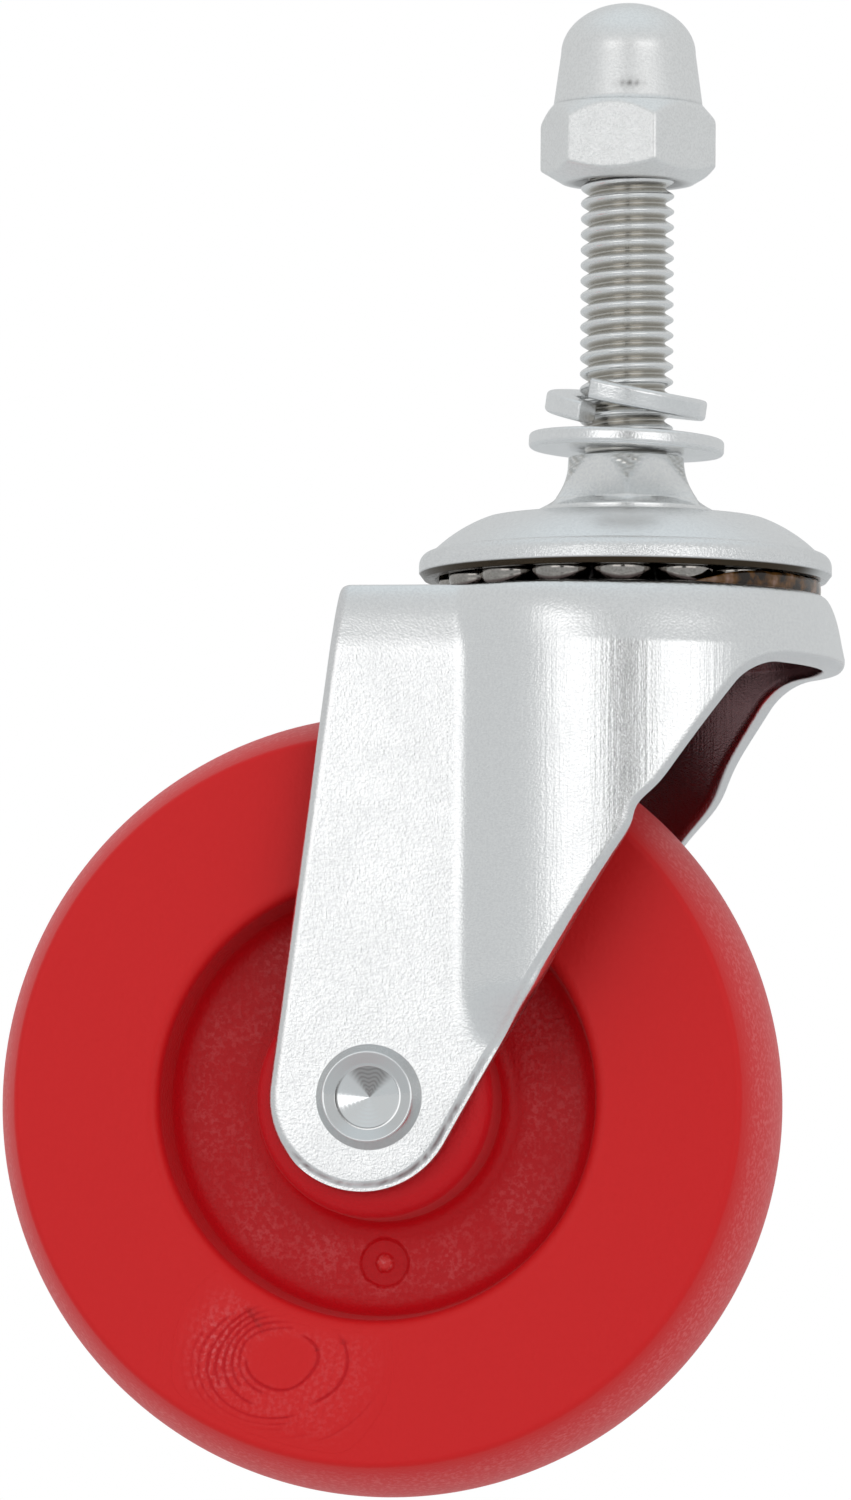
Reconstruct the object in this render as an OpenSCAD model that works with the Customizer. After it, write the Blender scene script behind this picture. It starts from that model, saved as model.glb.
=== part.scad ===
// Swivel castor with a threaded stem, for a stool.
// A moulded wheel runs in a pressed fork, which turns on two rows of balls under a domed cap.
// The origin is on the swivel axis, at the shoulder under the thread, and +Z points up the stem.
// The wheel trails towards -X and its axle lies along Y.

/* [Stem] */
// Outer diameter of the thread
stem_d = 9.525; // [6:0.025:16]
// Length of the stem above the shoulder
stem_l = 40; // [25:0.5:70]
// Chamfer at the end of the stem
stem_chamfer = 1; // [0.3:0.1:2]
// Height of the hexagonal neck
neck_h = 5.25; // [3:0.05:12]
// Width across the flats at the top of the neck
neck_af = 11.8; // [10.5:0.1:24]
// Height of the straight part of the neck's flats
neck_flat_h = 0.5; // [0.1:0.1:2]
// Radius of the sweep from the neck's flats to the flange
neck_sweep = 7; // [4.5:0.1:12]
// Turn of the neck's flats about the stem
neck_turn = 7.5; // [-30:0.5:30]
// Shoulder left flat inside the neck's top chamfer, beyond the thread
shoulder_w = 0.9; // [0.4:0.1:3]
// Diameter of the flange that rests on the cap
flange_d = 17.8; // [15:0.1:30]
// Thickness of the flange
flange_t = 0.8; // [0.5:0.1:3]
// Diameter of the kingpin through the swivel
pin_d = 10; // [7:0.1:13]
// Overhang of the kingpin's riveted end
pin_head_lip = 2.2; // [1:0.1:4]
// Height of the kingpin's riveted end
pin_head_h = 1.8; // [1:0.1:4]

/* [Cap nut] */
// Width across the nut's flats
nut_af = 16; // [13:0.1:24]
// Height of the nut's hexagon
nut_h = 8.3; // [5:0.1:14]
// Height of the straight side of the dome
nut_side_h = 5; // [1:0.1:10]
// Height of the rounded top of the dome
nut_top_h = 5.2; // [3:0.1:10]
// Step from the nut's flats to the foot of the dome
nut_dome_step = 0.36; // [0.1:0.02:2]
// Ledge left round the foot of the dome
nut_ledge = 0.15; // [0.05:0.01:0.3]
// Taper of the dome's straight side
nut_taper = 0.79; // [0:0.01:1.5]
// Length of the stem inside the nut
nut_grip = 11.9; // [6:0.1:14]
// Space left beyond the end of the stem
nut_end_gap = 0.6; // [0.2:0.1:2]
// Turn of the nut about the stem
nut_turn = 24; // [-30:1:30]

/* [Washers] */
// Outer diameter of the flat washer
washer_d = 19.9; // [17:0.1:34]
// Thickness of the flat washer
washer_t = 1.7; // [1:0.05:3]
// Radial play of the flat washer on the stem
washer_play = 0.5; // [0.3:0.05:1.5]
// Lean of the flat washer, which lies loose on the shoulder
washer_lean = 2.2; // [0:0.1:4]
// Gap between the flat washer's low side and the shoulder
washer_rest = 0.3; // [0.05:0.05:0.8]
// Radial width of the lock washer's wire
lock_w = 2.9; // [2:0.1:6]
// Thickness of the lock washer's wire
lock_t = 2.1; // [1.2:0.1:4]
// Radial play of the lock washer on the stem
lock_play = 0.5; // [0.4:0.05:1.5]
// Rise of the lock washer from end to end
lock_rise = 2.5; // [1.5:0.1:5]
// Gap between the lock washer's ends, in degrees
lock_gap = 5; // [3:1:30]
// Position of the lock washer's lower end about the stem
lock_turn = -117; // [-180:1:180]
// Lean of the lock washer to the front side of the castor
lock_lean = 9; // [0:0.1:10]
// Lean of the lock washer along the axle
lock_tip = 7; // [0:0.1:9]
// Gap between the lock washer's lower end and the flat washer
lock_rest = 0.65; // [0.05:0.05:0.8]

/* [Bearing cap] */
// Outer diameter of the cap
cap_d = 42; // [34:0.1:60]
// Thickness of the cap's sheet
cap_t = 2.4; // [1.5:0.1:3]
// Flat left round the flange at the top of the cap
cap_flat = 4.5; // [0.1:0.05:6]
// Slope of the dome where it leaves the flat
cap_lead = 17; // [5:0.1:25]
// Slope of the flare where it leaves the dome
cap_slope = 42.3; // [30:0.1:55]
// Width of the straight flare between the dome and the rim
cap_flare = 1.9; // [1:0.1:4]
// Width of the rim outside the balls
cap_rim = 1.95; // [1.2:0.05:3]
// Height of the rim's outer edge
cap_edge = 1.5; // [0.8:0.05:3]

/* [Swivel] */
// Diameter of the upper balls
ball_d = 6; // [4:0.1:7]
// Depth of the ball race in the cap
cap_race = 0.3; // [0.1:0.05:0.8]
// Diameter of the lower balls
small_ball_d = 4; // [3:0.1:5]
// Depth of the lower ball race in the crown
crown_race = 0.5; // [0.2:0.05:0.8]
// Land between the kingpin and the lower balls
small_land = 2.2; // [1.8:0.1:4]
// Thickness of the lower race cup
cup_t = 1.6; // [1:0.1:3]
// Wall of the cup outside the lower balls
cup_wall = 1.2; // [0.8:0.1:3]
// Gap between the cap's rim and the crown
crown_gap = 1.75; // [0.4:0.05:3]
// Space between neighbouring balls
ball_space = 0.2; // [0.1:0.05:1]

/* [Fork] */
// Thickness of the fork's sheet
fork_t = 2.3; // [1.6:0.1:3]
// Land on the crown outside the upper balls
crown_land = 0.3; // [0.2:0.05:3]
// Outside radius of the bend round the crown
fork_bend = 3; // [2.6:0.1:5]
// Depth of the round front wall
skirt_h = 7.6; // [5:0.1:16]
// Run of the front wall's level edge
skirt_run = 7; // [4:0.1:14]
// Radius where the level edge turns down along the legs
skirt_fillet = 6.5; // [2:0.1:10]
// Hollow of the legs' front edge
edge_sag = 0.95; // [0.5:0.05:4]
// Radius of the legs' lower ends
leg_end_r = 9.45; // [8:0.05:16]
// Set-back of the legs' lower ends behind the axle
leg_back = 0.75; // [0:0.05:3]
// Lean of the legs' rear edge
leg_lean = 7.4; // [0:0.1:12]
// Trail from the swivel axis to the axle
trail = 23.55; // [15:0.05:35]

/* [Wheel] */
// Diameter of the wheel
wheel_d = 79.5; // [60:0.1:100]
// Space between the tread and the crown
wheel_gap = 9.7; // [8:0.1:20]
// Width of the rim
rim_w = 24; // [16:0.1:28]
// Radius of the crowned tread
tread_r = 26; // [16:0.5:60]
// Rounding between the tread and the rim's faces
tread_round = 0.8; // [0.2:0.1:2]
// Diameter of the recess in each face
recess_d = 44.6; // [36:0.1:58]
// Thickness of the web between the recesses
web_t = 9.6; // [4:0.1:14]
// Rounding round the mouth of the recess
recess_round = 0.9; // [0.2:0.1:2]
// Draft of the recess wall
recess_draft = 1; // [0.2:0.1:3]
// Fillet round the floor of the recess
recess_fillet = 2; // [0.5:0.1:3]
// Diameter of the hub
hub_d = 24; // [18:0.1:32]
// Length of the hub
hub_l = 29.8; // [26:0.1:40]
// Rounding at the ends of the hub
hub_round = 2; // [0.5:0.1:3]
// Fillet at the foot of the hub
hub_fillet = 1.6; // [0.5:0.1:3]
// Diameter of the ejector mark in the web
mark_d = 5; // [2:0.1:7]
// Depth of the ejector mark
mark_h = 0.5; // [0.2:0.1:1.5]
// Diameter of the nub inside the ejector mark
mark_nub_d = 1.8; // [0.6:0.1:3]

/* [Axle] */
// Diameter of the rivet's shank
rivet_d = 8; // [5:0.1:10]
// Diameter of the rivet's heads
rivet_head_d = 10.7; // [9.5:0.1:16]
// Height of the rivet's heads
rivet_head_h = 1.7; // [1:0.1:3]
// Diameter of the cone in the rivet's heads
rivet_cone_d = 6.8; // [4:0.1:7.5]
// Depth of the cone in the rivet's heads
rivet_cone_h = 3.4; // [1:0.1:6]
// Diameter of the sleeve that the wheel turns on
sleeve_d = 11.6; // [10:0.1:15]

/* [Clearances] */
// Radial clearance where a piece is pressed or riveted in place
press_gap = 0.02; // [0.01:0.01:0.05]
// Radial clearance of the tapped nut on the stem
thread_gap = 0.05; // [0.02:0.01:0.2]
// Clearance round the balls in their races
ball_gap = 0.05; // [0.02:0.01:0.1]
// Radial clearance of the wheel on its sleeve
run_gap = 0.06; // [0.03:0.01:0.1]
// Gap between the hub and each leg
side_gap = 0.3; // [0.1:0.05:1]
// Radial clearance of the crown round the kingpin
crown_clear = 1; // [0.3:0.1:2]

/* [Hidden] */
$fn = 96;
zinc = [0.79, 0.81, 0.83];
dull_zinc = [0.70, 0.72, 0.74];
ball_steel = [0.36, 0.36, 0.38];
wheel_red = [0.78, 0.13, 0.16];

stem_r = stem_d / 2;
shoulder_r = stem_r + shoulder_w;
flange_r = flange_d / 2;
pin_r = pin_d / 2;
ball_r = ball_d / 2;
small_ball_r = small_ball_d / 2;
race_fit = ball_r + ball_gap;
small_race_fit = small_ball_r + ball_gap;

// Dome of the cap: a circle from the edge of the flat top to the flare, as wide as the cap leaves it
cap_z = -(neck_h + flange_t);
cap_flat_r = flange_r + cap_flat;
cap_dome_r = (cap_d / 2 - cap_flare - cap_flat_r) / (sin(cap_slope) - sin(cap_lead));
cap_inner_r = cap_dome_r - cap_t;
dome_r = cap_flat_r - cap_dome_r * sin(cap_lead);
dome_z = cap_z - cap_dome_r * cos(cap_lead);
flare_end = dome_z + cap_dome_r * cos(cap_slope) - cap_flare * tan(cap_slope);

// Heights down the swivel, from the shoulder
cap_low = flare_end - cap_edge;
crown_z = cap_low - crown_gap;
crown_low = crown_z - fork_t;
skirt_z = crown_z - skirt_h;

// Upper race, inside the cap's rim
race_r = cap_d / 2 - cap_rim - race_fit;
ball_z = dome_z + sqrt(pow(cap_inner_r, 2) - pow(race_r - dome_r, 2)) + cap_race - race_fit;
ball_count = floor(180 / asin((ball_d + ball_space) / 2 / race_r));

// Lower race, under the crown
small_race_r = pin_r + small_land + small_ball_r;
small_ball_z = crown_low + crown_race - small_race_fit;
small_count = floor(180 / asin((small_ball_d + ball_space) / 2 / small_race_r));
cup_z = small_ball_z - 0.3 * small_ball_r;
cup_low = small_ball_z - small_race_fit - cup_t;
cup_r = small_race_r + small_race_fit + cup_wall;

// Fork in plan: a round front of front_r, and legs leg_y each side of the middle
front_r = race_r + race_fit + crown_land + fork_bend;
leg_in = hub_l / 2 + side_gap;
leg_y = leg_in + fork_t;
axle_z = crown_low - wheel_gap - wheel_d / 2;
axle = [-trail, axle_z];
leg_mid = axle - [leg_back, 0];

// Front edge of the legs: a hollow arc from the leg's end to the front wall's level edge
edge_top = [front_r - skirt_run, skirt_z];
edge_run = edge_top - leg_mid;
edge_span = sqrt(pow(norm(edge_run), 2) - pow(leg_end_r, 2));
edge_bow = 2 * atan(2 * edge_sag / edge_span);
edge_turn = atan2(edge_run[1], edge_run[0]) - acos(leg_end_r / norm(edge_run)) + edge_bow;
edge_foot = leg_mid + leg_end_r * [cos(edge_turn), sin(edge_turn)];
edge_chord = edge_top - edge_foot;
edge_dir = edge_chord / norm(edge_chord);
edge_r = pow(norm(edge_chord) / 2, 2) / (2 * edge_sag) + edge_sag / 2;
edge_mid = (edge_top + edge_foot) / 2 + (edge_r - edge_sag) * [edge_dir[1], -edge_dir[0]];
edge_half = asin(norm(edge_chord) / 2 / edge_r);
edge_slope = atan2(edge_dir[1], edge_dir[0]);

// Wheel and axle
sleeve_r = sleeve_d / 2;
rivet_r = rivet_d / 2;
bore_r = sleeve_r + run_gap;
wheel_r = wheel_d / 2;
hub_r = hub_d / 2;
hub_h = hub_l / 2;
web_h = web_t / 2;
rim_h = rim_w / 2;
recess_r = recess_d / 2;
floor_r = recess_r - recess_draft;
mark_r = (hub_r + recess_r) / 2 - recess_draft;

// Washers and nut on the stem
nut_z = stem_l - nut_grip;
lock_in = stem_r + lock_play;
lock_out = lock_in + lock_w;
lock_h = lock_t + lock_rise;
// Lower end of the lock washer, leaned over about its middle
lock_foot = lock_out * [cos(lock_turn), sin(lock_turn)];
lock_foot_drop = -lock_foot[0] * sin(lock_lean) - lock_h / 2 * cos(lock_lean);
lock_foot_z = lock_foot[1] * sin(lock_tip) + lock_foot_drop * cos(lock_tip);
washer_top = washer_rest + (shoulder_r - lock_foot[0]) * tan(washer_lean) + washer_t / cos(washer_lean);
lock_z = washer_top + lock_rest - lock_foot_z;

// Points of a circular arc about c, from turn a0 to turn a1
function arc(c, r, a0, a1, n = 8) =
    [for (i = [0 : n]) c + r * [cos(a0 + (a1 - a0) * i / n), sin(a0 + (a1 - a0) * i / n)]];

// Solid turned about Z from a half section of [radius, height] points
module turned(points) {
    rotate_extrude()
        polygon(points);
}

// Ring with a round section, for ball races
module race(ring_r, z, section_r) {
    translate([0, 0, z])
        rotate_extrude()
            translate([ring_r, 0])
                circle(section_r, $fn = 48);
}

// Domed nut, tapped blind from below
module cap_nut() {
    corner = nut_af / 2 / cos(30);
    foot_r = nut_af / 2 - nut_dome_step;
    top_r = foot_r - nut_taper;
    dome_h = nut_h + nut_side_h;
    bore = stem_r + thread_gap;
    depth = nut_grip + nut_end_gap;
    face_r = nut_af / 2 - 0.8;
    color(dull_zinc)
        translate([0, 0, nut_z])
            rotate([0, 0, nut_turn])
                difference() {
                    union() {
                        intersection() {
                            rotate([0, 0, 30])
                                cylinder(r = corner, h = nut_h, $fn = 6);
                            turned([
                                [0, 0],
                                [face_r, 0],
                                [corner, corner - face_r],
                                [corner, nut_h - 1.56 * (corner - foot_r)],
                                [foot_r + nut_ledge, nut_h],
                                [0, nut_h]
                            ]);
                        }
                        turned(concat(
                            [[0, nut_h - 1], [foot_r, nut_h - 1], [foot_r, nut_h]],
                            [for (a = [0 : 7.5 : 90]) [top_r * cos(a), dome_h + nut_top_h * sin(a)]]
                        ));
                    }
                    turned([
                        [0, -1],
                        [bore, -1],
                        [bore, depth],
                        [0, depth + bore / 2]
                    ]);
                    translate([0, 0, -0.01])
                        cylinder(r1 = bore + 0.7, r2 = bore, h = 0.7);
                }
}

// Spring washer: a square wire wound one turn to the left, then leaned over on the flat washer
module lock_washer() {
    steps = 60;
    span = 360 - lock_gap;
    section = [[lock_in, 0], [lock_out, 0], [lock_out, lock_t], [lock_in, lock_t]];
    points = [
        for (i = [0 : steps])
            let (turn = lock_turn - span * i / steps)
            for (c = section)
                [c[0] * cos(turn), c[0] * sin(turn), c[1] + lock_rise * i / steps]
    ];
    sides = [
        for (i = [0 : steps - 1])
            for (j = [0 : 3])
                [4 * i + j, 4 * i + (j + 1) % 4, 4 * i + 4 + (j + 1) % 4, 4 * i + 4 + j]
    ];
    last = 4 * steps;
    ends = [[3, 2, 1, 0], [last, last + 1, last + 2, last + 3]];
    color(zinc)
        translate([0, 0, lock_z])
            rotate([lock_tip, lock_lean, 0])
                translate([0, 0, -lock_h / 2])
                    polyhedron(points, concat(sides, ends), convexity = 6);
}

// Plain washer, leaning on the edge of the shoulder
module flat_washer() {
    color(zinc)
        translate([shoulder_r, 0, washer_rest])
            rotate([0, washer_lean, 0])
                translate([-shoulder_r, 0, 0])
                    difference() {
                        cylinder(d = washer_d, h = washer_t);
                        translate([0, 0, -1])
                            cylinder(r = stem_r + washer_play, h = washer_t + 2);
                    }
}

// Hexagonal neck: the flats sweep out to the flange and are arched by the chamfer at the shoulder
module neck() {
    corner_r = flange_r - 0.3;
    difference() {
        turned([
            [0, -neck_h],
            [corner_r, -neck_h],
            [corner_r, (shoulder_r - corner_r) * tan(30)],
            [shoulder_r, 0],
            [0, 0]
        ]);
        for (turn = [0 : 60 : 300])
            rotate([90, 0, turn + neck_turn])
                translate([0, 0, -flange_d])
                    linear_extrude(2 * flange_d)
                        polygon(concat(
                            [[flange_d, neck_h], [neck_af / 2, neck_h]],
                            arc([neck_af / 2 + neck_sweep, -neck_flat_h], neck_sweep, 180, 270),
                            [[flange_d, -neck_flat_h - neck_sweep]]
                        ));
    }
}

// Stud, neck, flange and kingpin in one piece, riveted over under the lower race
module threaded_stem() {
    head_r = pin_r + pin_head_lip;
    round_r = flange_t / 2;
    color(zinc) {
        turned([
            [0, -neck_h / 2],
            [stem_r, -neck_h / 2],
            [stem_r, stem_l - stem_chamfer],
            [stem_r - stem_chamfer, stem_l],
            [0, stem_l]
        ]);
        neck();
        turned(concat(
            [[0, -neck_h + 0.01], [flange_r - round_r, -neck_h + 0.01]],
            arc([flange_r - round_r, -neck_h - round_r], round_r, 90, 0),
            [[flange_r, cap_z], [pin_r, cap_z], [pin_r, cup_low]],
            [for (a = [0 : 15 : 90]) [head_r * cos(a), cup_low - pin_head_h * sin(a)]]
        ));
    }
}

// Drawn cap: a flat round the flange, a dome, a straight flare and a level rim
module bearing_cap() {
    cap_r = cap_d / 2;
    hole_r = pin_r + press_gap;
    middle = [dome_r, dome_z];
    color(zinc)
        difference() {
            turned(concat(
                [[hole_r, cap_z]],
                arc(middle, cap_dome_r, 90 - cap_lead, 90 - cap_slope, 12),
                [[cap_r - 0.5, flare_end + 0.5 * tan(cap_slope)]],
                [[cap_r - 0.12, flare_end - 0.05], [cap_r, flare_end - 0.45]],
                [[cap_r, cap_low + 0.25], [cap_r - 0.25, cap_low], [cap_r - cap_rim, cap_low]],
                arc(middle, cap_inner_r, 90 - cap_slope, 90 - cap_lead, 12),
                [[hole_r, cap_z - cap_t]]
            ));
            race(race_r, ball_z, race_fit);
        }
}

// Dished cup, the lower race of the small balls
module lower_race_cup() {
    round_r = cup_t;
    color(zinc)
        difference() {
            turned(concat(
                [[pin_r + press_gap, cup_z], [pin_r + press_gap, cup_low]],
                arc([cup_r - round_r, cup_low + round_r], round_r, 270, 360),
                [[cup_r, cup_z]]
            ));
            race(small_race_r, small_ball_z, small_race_fit);
        }
}

// One ball of a row, counted round from the front of the photograph's side
module ball(i, count, ring_r, z, r) {
    color(ball_steel)
        rotate([0, 0, -90 + neck_turn + 360 * (i - 1) / count])
            translate([ring_r, 0, z])
                sphere(r, $fn = 32);
}

// Half section of a wall of radius r, down to low, with a rounded top edge of radius b
module wall_section(r, b, low, top) {
    translate([0, low])
        square([r, top - b - low]);
    translate([0, low])
        square([r - b, top - low]);
    translate([r - b, top - b])
        circle(b);
}

// Fork in plan, raised to its rounded top edge and taken in by a distance off all round
module fork_block(off, reach) {
    r = front_r - off;
    y = leg_y - off;
    b = fork_bend - off;
    top = crown_z - off;
    low = axle_z - leg_end_r - reach;
    back = leg_mid[0] - leg_end_r - reach;
    rotate_extrude()
        wall_section(r, b, low, top);
    translate([back, 0, 0])
        rotate([90, 0, 90])
            linear_extrude(-back) {
                wall_section(y, b, low, top);
                mirror([1, 0])
                    wall_section(y, b, low, top);
            }
}

// Fork seen from the side: round leg ends, a leaning rear edge and a hollow front edge
module fork_outline() {
    top_slope = edge_slope - edge_half;
    run = skirt_fillet * tan(top_slope / 2);
    fillet_turn = asin(run / edge_r);
    rear_foot = leg_mid + leg_end_r * [-cos(leg_lean), sin(leg_lean)];
    polygon(concat(
        arc(leg_mid, leg_end_r, 180 - leg_lean, 360 + edge_turn, 20),
        arc(edge_mid, edge_r, edge_slope + 90 + edge_half, edge_slope + 90 - edge_half + fillet_turn, 10),
        arc(edge_top + [run, -skirt_fillet], skirt_fillet, top_slope + 90, 90),
        [[front_r + 1, skirt_z], [front_r + 1, crown_z + 1]],
        [rear_foot + (crown_z + 1 - rear_foot[1]) * [tan(leg_lean), 1]]
    ));
}

// Pressed fork: crown with its ball races, round front wall and two legs
module fork() {
    wide = 2 * front_r + 2;
    color(zinc)
        difference() {
            union() {
                intersection() {
                    difference() {
                        fork_block(0, 1);
                        fork_block(fork_t, 3);
                    }
                    translate([0, wide / 2, 0])
                        rotate([90, 0, 0])
                            linear_extrude(wide)
                                fork_outline();
                }
                intersection() {
                    race(race_r, ball_z, race_fit + fork_t);
                    translate([0, 0, crown_low - race_fit])
                        cylinder(r = front_r - fork_t / 2, h = race_fit + fork_t / 2);
                }
            }
            race(race_r, ball_z, race_fit);
            race(small_race_r, small_ball_z, small_race_fit);
            translate([0, 0, crown_low - 1])
                cylinder(r = pin_r + crown_clear, h = fork_t + 2);
            along_axle()
                cylinder(r = rivet_r + press_gap, h = wide, center = true);
        }
}

// Places a piece turned about Z on the axle
module along_axle() {
    translate([axle[0], 0, axle[1]])
        rotate([90, 0, 0])
            children();
}

// Both halves of a section that is the same on each side of the middle
function mirrored(half) =
    concat(half, [for (i = [len(half) - 1 : -1 : 0]) [half[i][0], -half[i][1]]]);

// Axle rivet, rolled over a cone at both ends
module axle_rivet() {
    head_r = rivet_head_d / 2;
    cone_r = rivet_cone_d / 2;
    end = leg_y + rivet_head_h;
    lip = (head_r - cone_r) / 4;
    color(zinc)
        along_axle()
            turned(mirrored(concat(
                [[0, end - rivet_cone_h], [cone_r, end - lip], [cone_r + lip, end], [head_r - 2 * lip, end]],
                arc([head_r - 1.4 * lip, end - 1.4 * lip], 1.4 * lip, 75, 0, 5),
                [[head_r, leg_y], [rivet_r, leg_y]]
            )));
}

// Spacer tube, clamped between the legs by the rivet
module axle_sleeve() {
    color(dull_zinc)
        along_axle()
            difference() {
                cylinder(r = sleeve_r, h = 2 * leg_in, center = true);
                cylinder(r = rivet_r + press_gap, h = 2 * leg_in + 2, center = true);
            }
}

// Moulded wheel: crowned tread, recessed faces, web and hub in one piece
module wheel() {
    corner_y = rim_h - tread_round;
    corner_r = wheel_r - tread_r + sqrt(pow(tread_r - tread_round, 2) - pow(corner_y, 2));
    corner_turn = asin(corner_y / (tread_r - tread_round));
    wall_turn = atan(recess_draft / (rim_h - web_h));
    color(wheel_red)
        difference() {
            along_axle()
                turned(mirrored(concat(
                    [[bore_r, hub_h - 0.5], [bore_r + 0.5, hub_h]],
                    arc([hub_r - hub_round, hub_h - hub_round], hub_round, 90, 0),
                    arc([hub_r + hub_fillet, web_h + hub_fillet], hub_fillet, 180, 270),
                    arc([floor_r - recess_fillet, web_h + recess_fillet], recess_fillet, 270, 360 - wall_turn),
                    arc([recess_r + recess_round, rim_h - recess_round], recess_round, 180 - wall_turn, 90),
                    arc([corner_r, corner_y], tread_round, 90, corner_turn, 4),
                    arc([wheel_r - tread_r, 0], tread_r, corner_turn, 0, 10)
                )));
            translate([axle[0], -web_h, axle[1] - mark_r])
                rotate([90, 0, 0])
                    difference() {
                        translate([0, 0, -mark_h])
                            cylinder(d = mark_d, h = mark_h + 1, $fn = 48);
                        translate([0, 0, -mark_h - 1])
                            cylinder(d = mark_nub_d, h = mark_h + 0.9, $fn = 32);
                    }
        }
}

cap_nut();
lock_washer();
flat_washer();
threaded_stem();
bearing_cap();
lower_race_cup();
fork();
axle_rivet();
axle_sleeve();
wheel();
for (i = [1 : ball_count])
    ball(i, ball_count, race_r, ball_z, ball_r);
for (i = [1 : small_count])
    ball(i, small_count, small_race_r, small_ball_z, small_ball_r);
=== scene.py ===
# Stool castor: red moulded wheel, pressed zinc fork, ball swivel and threaded stem.
# Sizes below are in millimetres from the stem's shoulder; meshes are written in metres.
import math

import bmesh
import bpy
import numpy as np
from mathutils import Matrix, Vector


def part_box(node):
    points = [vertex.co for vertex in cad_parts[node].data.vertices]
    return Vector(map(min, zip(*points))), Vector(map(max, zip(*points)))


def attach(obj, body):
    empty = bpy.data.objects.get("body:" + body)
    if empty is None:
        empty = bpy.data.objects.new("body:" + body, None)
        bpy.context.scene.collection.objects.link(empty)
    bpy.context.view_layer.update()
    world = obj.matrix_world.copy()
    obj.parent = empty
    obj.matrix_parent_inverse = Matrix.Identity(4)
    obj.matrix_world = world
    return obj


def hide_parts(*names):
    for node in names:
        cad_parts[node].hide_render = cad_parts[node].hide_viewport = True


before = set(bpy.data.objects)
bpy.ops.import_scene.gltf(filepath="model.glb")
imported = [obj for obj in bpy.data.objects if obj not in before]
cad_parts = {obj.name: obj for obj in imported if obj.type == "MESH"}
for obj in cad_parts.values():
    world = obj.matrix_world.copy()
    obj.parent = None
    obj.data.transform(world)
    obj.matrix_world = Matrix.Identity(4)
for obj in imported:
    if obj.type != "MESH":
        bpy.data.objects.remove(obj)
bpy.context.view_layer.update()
scene = bpy.context.scene
mm = 0.001           # in metres
weldSteps = 2000     # to a millimetre; points that fall in the same step are one
print("frame loaded:", len(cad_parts), "nodes")


def gridQuads(rows, cols, wrapRows=False, wrapCols=False):
    # corners of the quads between neighbouring points of a rows by cols grid
    lastRow, lastCol = rows if wrapRows else rows - 1, cols if wrapCols else cols - 1
    i, j = np.meshgrid(np.arange(lastRow), np.arange(lastCol), indexing="ij")
    i1, j1 = (i + 1) % rows, (j + 1) % cols
    return np.stack([i * cols + j, i1 * cols + j, i1 * cols + j1, i * cols + j1], -1).reshape(-1, 4)


def stackGrids(grids):
    # several (rows, cols, 3) grids, each with its two wrap flags, as one list of points and quads
    points = [g.reshape(-1, 3) for g, _, _ in grids]
    starts = np.concatenate([[0], np.cumsum([len(p) for p in points])[:-1]])
    quads = [gridQuads(g.shape[0], g.shape[1], a, b) + s for (g, a, b), s in zip(grids, starts)]
    return np.concatenate(points), np.concatenate(quads)


def makePiece(name, points, quads, finish, body, nodes=(), slotName=None, masks=None):
    # welds points that coincide, pinches quads with a shared corner to triangles, faces the shell outwards
    keys = np.round(points * weldSteps).astype(np.int64)
    _, first, where = np.unique(keys, axis=0, return_index=True, return_inverse=True)
    points, quads = points[first], where.reshape(-1)[quads]
    same = quads == np.roll(quads, -1, axis=1)
    keep = same.sum(1) < 2
    quads, same = quads[keep], same[keep]
    whole = quads[~same.any(1)]
    pinched, at = quads[same.any(1)], same[same.any(1)].argmax(1)
    threes = np.take_along_axis(pinched, (at[:, None] + np.arange(1, 4)) % 4, 1)
    loops = np.concatenate([whole.ravel(), threes.ravel()])
    sizes = np.concatenate([np.full(len(whole), 4), np.full(len(threes), 3)])
    mesh = bpy.data.meshes.new(name)
    mesh.vertices.add(len(points))
    mesh.vertices.foreach_set("co", (points * mm).astype(np.float32).ravel())
    mesh.loops.add(len(loops))
    mesh.loops.foreach_set("vertex_index", loops.astype(np.int32))
    mesh.polygons.add(len(sizes))
    mesh.polygons.foreach_set("loop_start", (np.cumsum(sizes) - sizes).astype(np.int32))
    mesh.polygons.foreach_set("use_smooth", np.ones(len(sizes), bool))
    mesh.update(calc_edges=True)
    shell = bmesh.new()
    shell.from_mesh(mesh)
    bmesh.ops.recalc_face_normals(shell, faces=shell.faces)
    shell.to_mesh(mesh)
    shell.free()
    for label, values in (masks or {}).items():
        layer = mesh.attributes.new(label, "FLOAT", "POINT")
        layer.data.foreach_set("value", np.asarray(values, np.float32).ravel()[first])
    mesh.materials.append(finish)
    piece = bpy.data.objects.new(name, mesh)
    scene.collection.objects.link(piece)
    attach(piece, body)
    if nodes:
        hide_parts(*nodes)
    print("piece:", name, 2 * len(whole) + len(threes), "triangles")
    return piece


def arc(centre, r, a0, a1, n=8):
    # points of a circle about centre from turn a0 to turn a1, in degrees
    t = np.radians(np.linspace(a0, a1, n + 1))
    return np.stack([centre[0] + r * np.cos(t), centre[1] + r * np.sin(t)], 1)


def chain(*parts):
    # point lists end to end
    return np.concatenate([np.atleast_2d(np.asarray(p, float)) for p in parts])


def supported(profile, step=0.06, closed=False):
    # extra points just inside the ends of each long straight, so smooth shading leaves it flat
    ends = np.roll(profile, -1, axis=0)
    run = ends - profile
    length = np.linalg.norm(run, axis=1)
    share = np.where(length > 5 * step, step / np.maximum(length, 1e-9), 0.0)[:, None]
    full = np.stack([profile, profile + run * share, ends - run * share], 1)
    if not closed:
        full[-1, 1:] = profile[-1]
    flat = full.reshape(-1, profile.shape[1])
    keep = np.concatenate([[True], np.linalg.norm(np.diff(flat, axis=0), axis=1) > 1e-6])
    return flat[keep]


def polar(r, turn, z):
    # points at radius r and height z, turned about Z from +X
    return np.stack(np.broadcast_arrays(r * np.cos(turn), r * np.sin(turn), z), -1)


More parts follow.
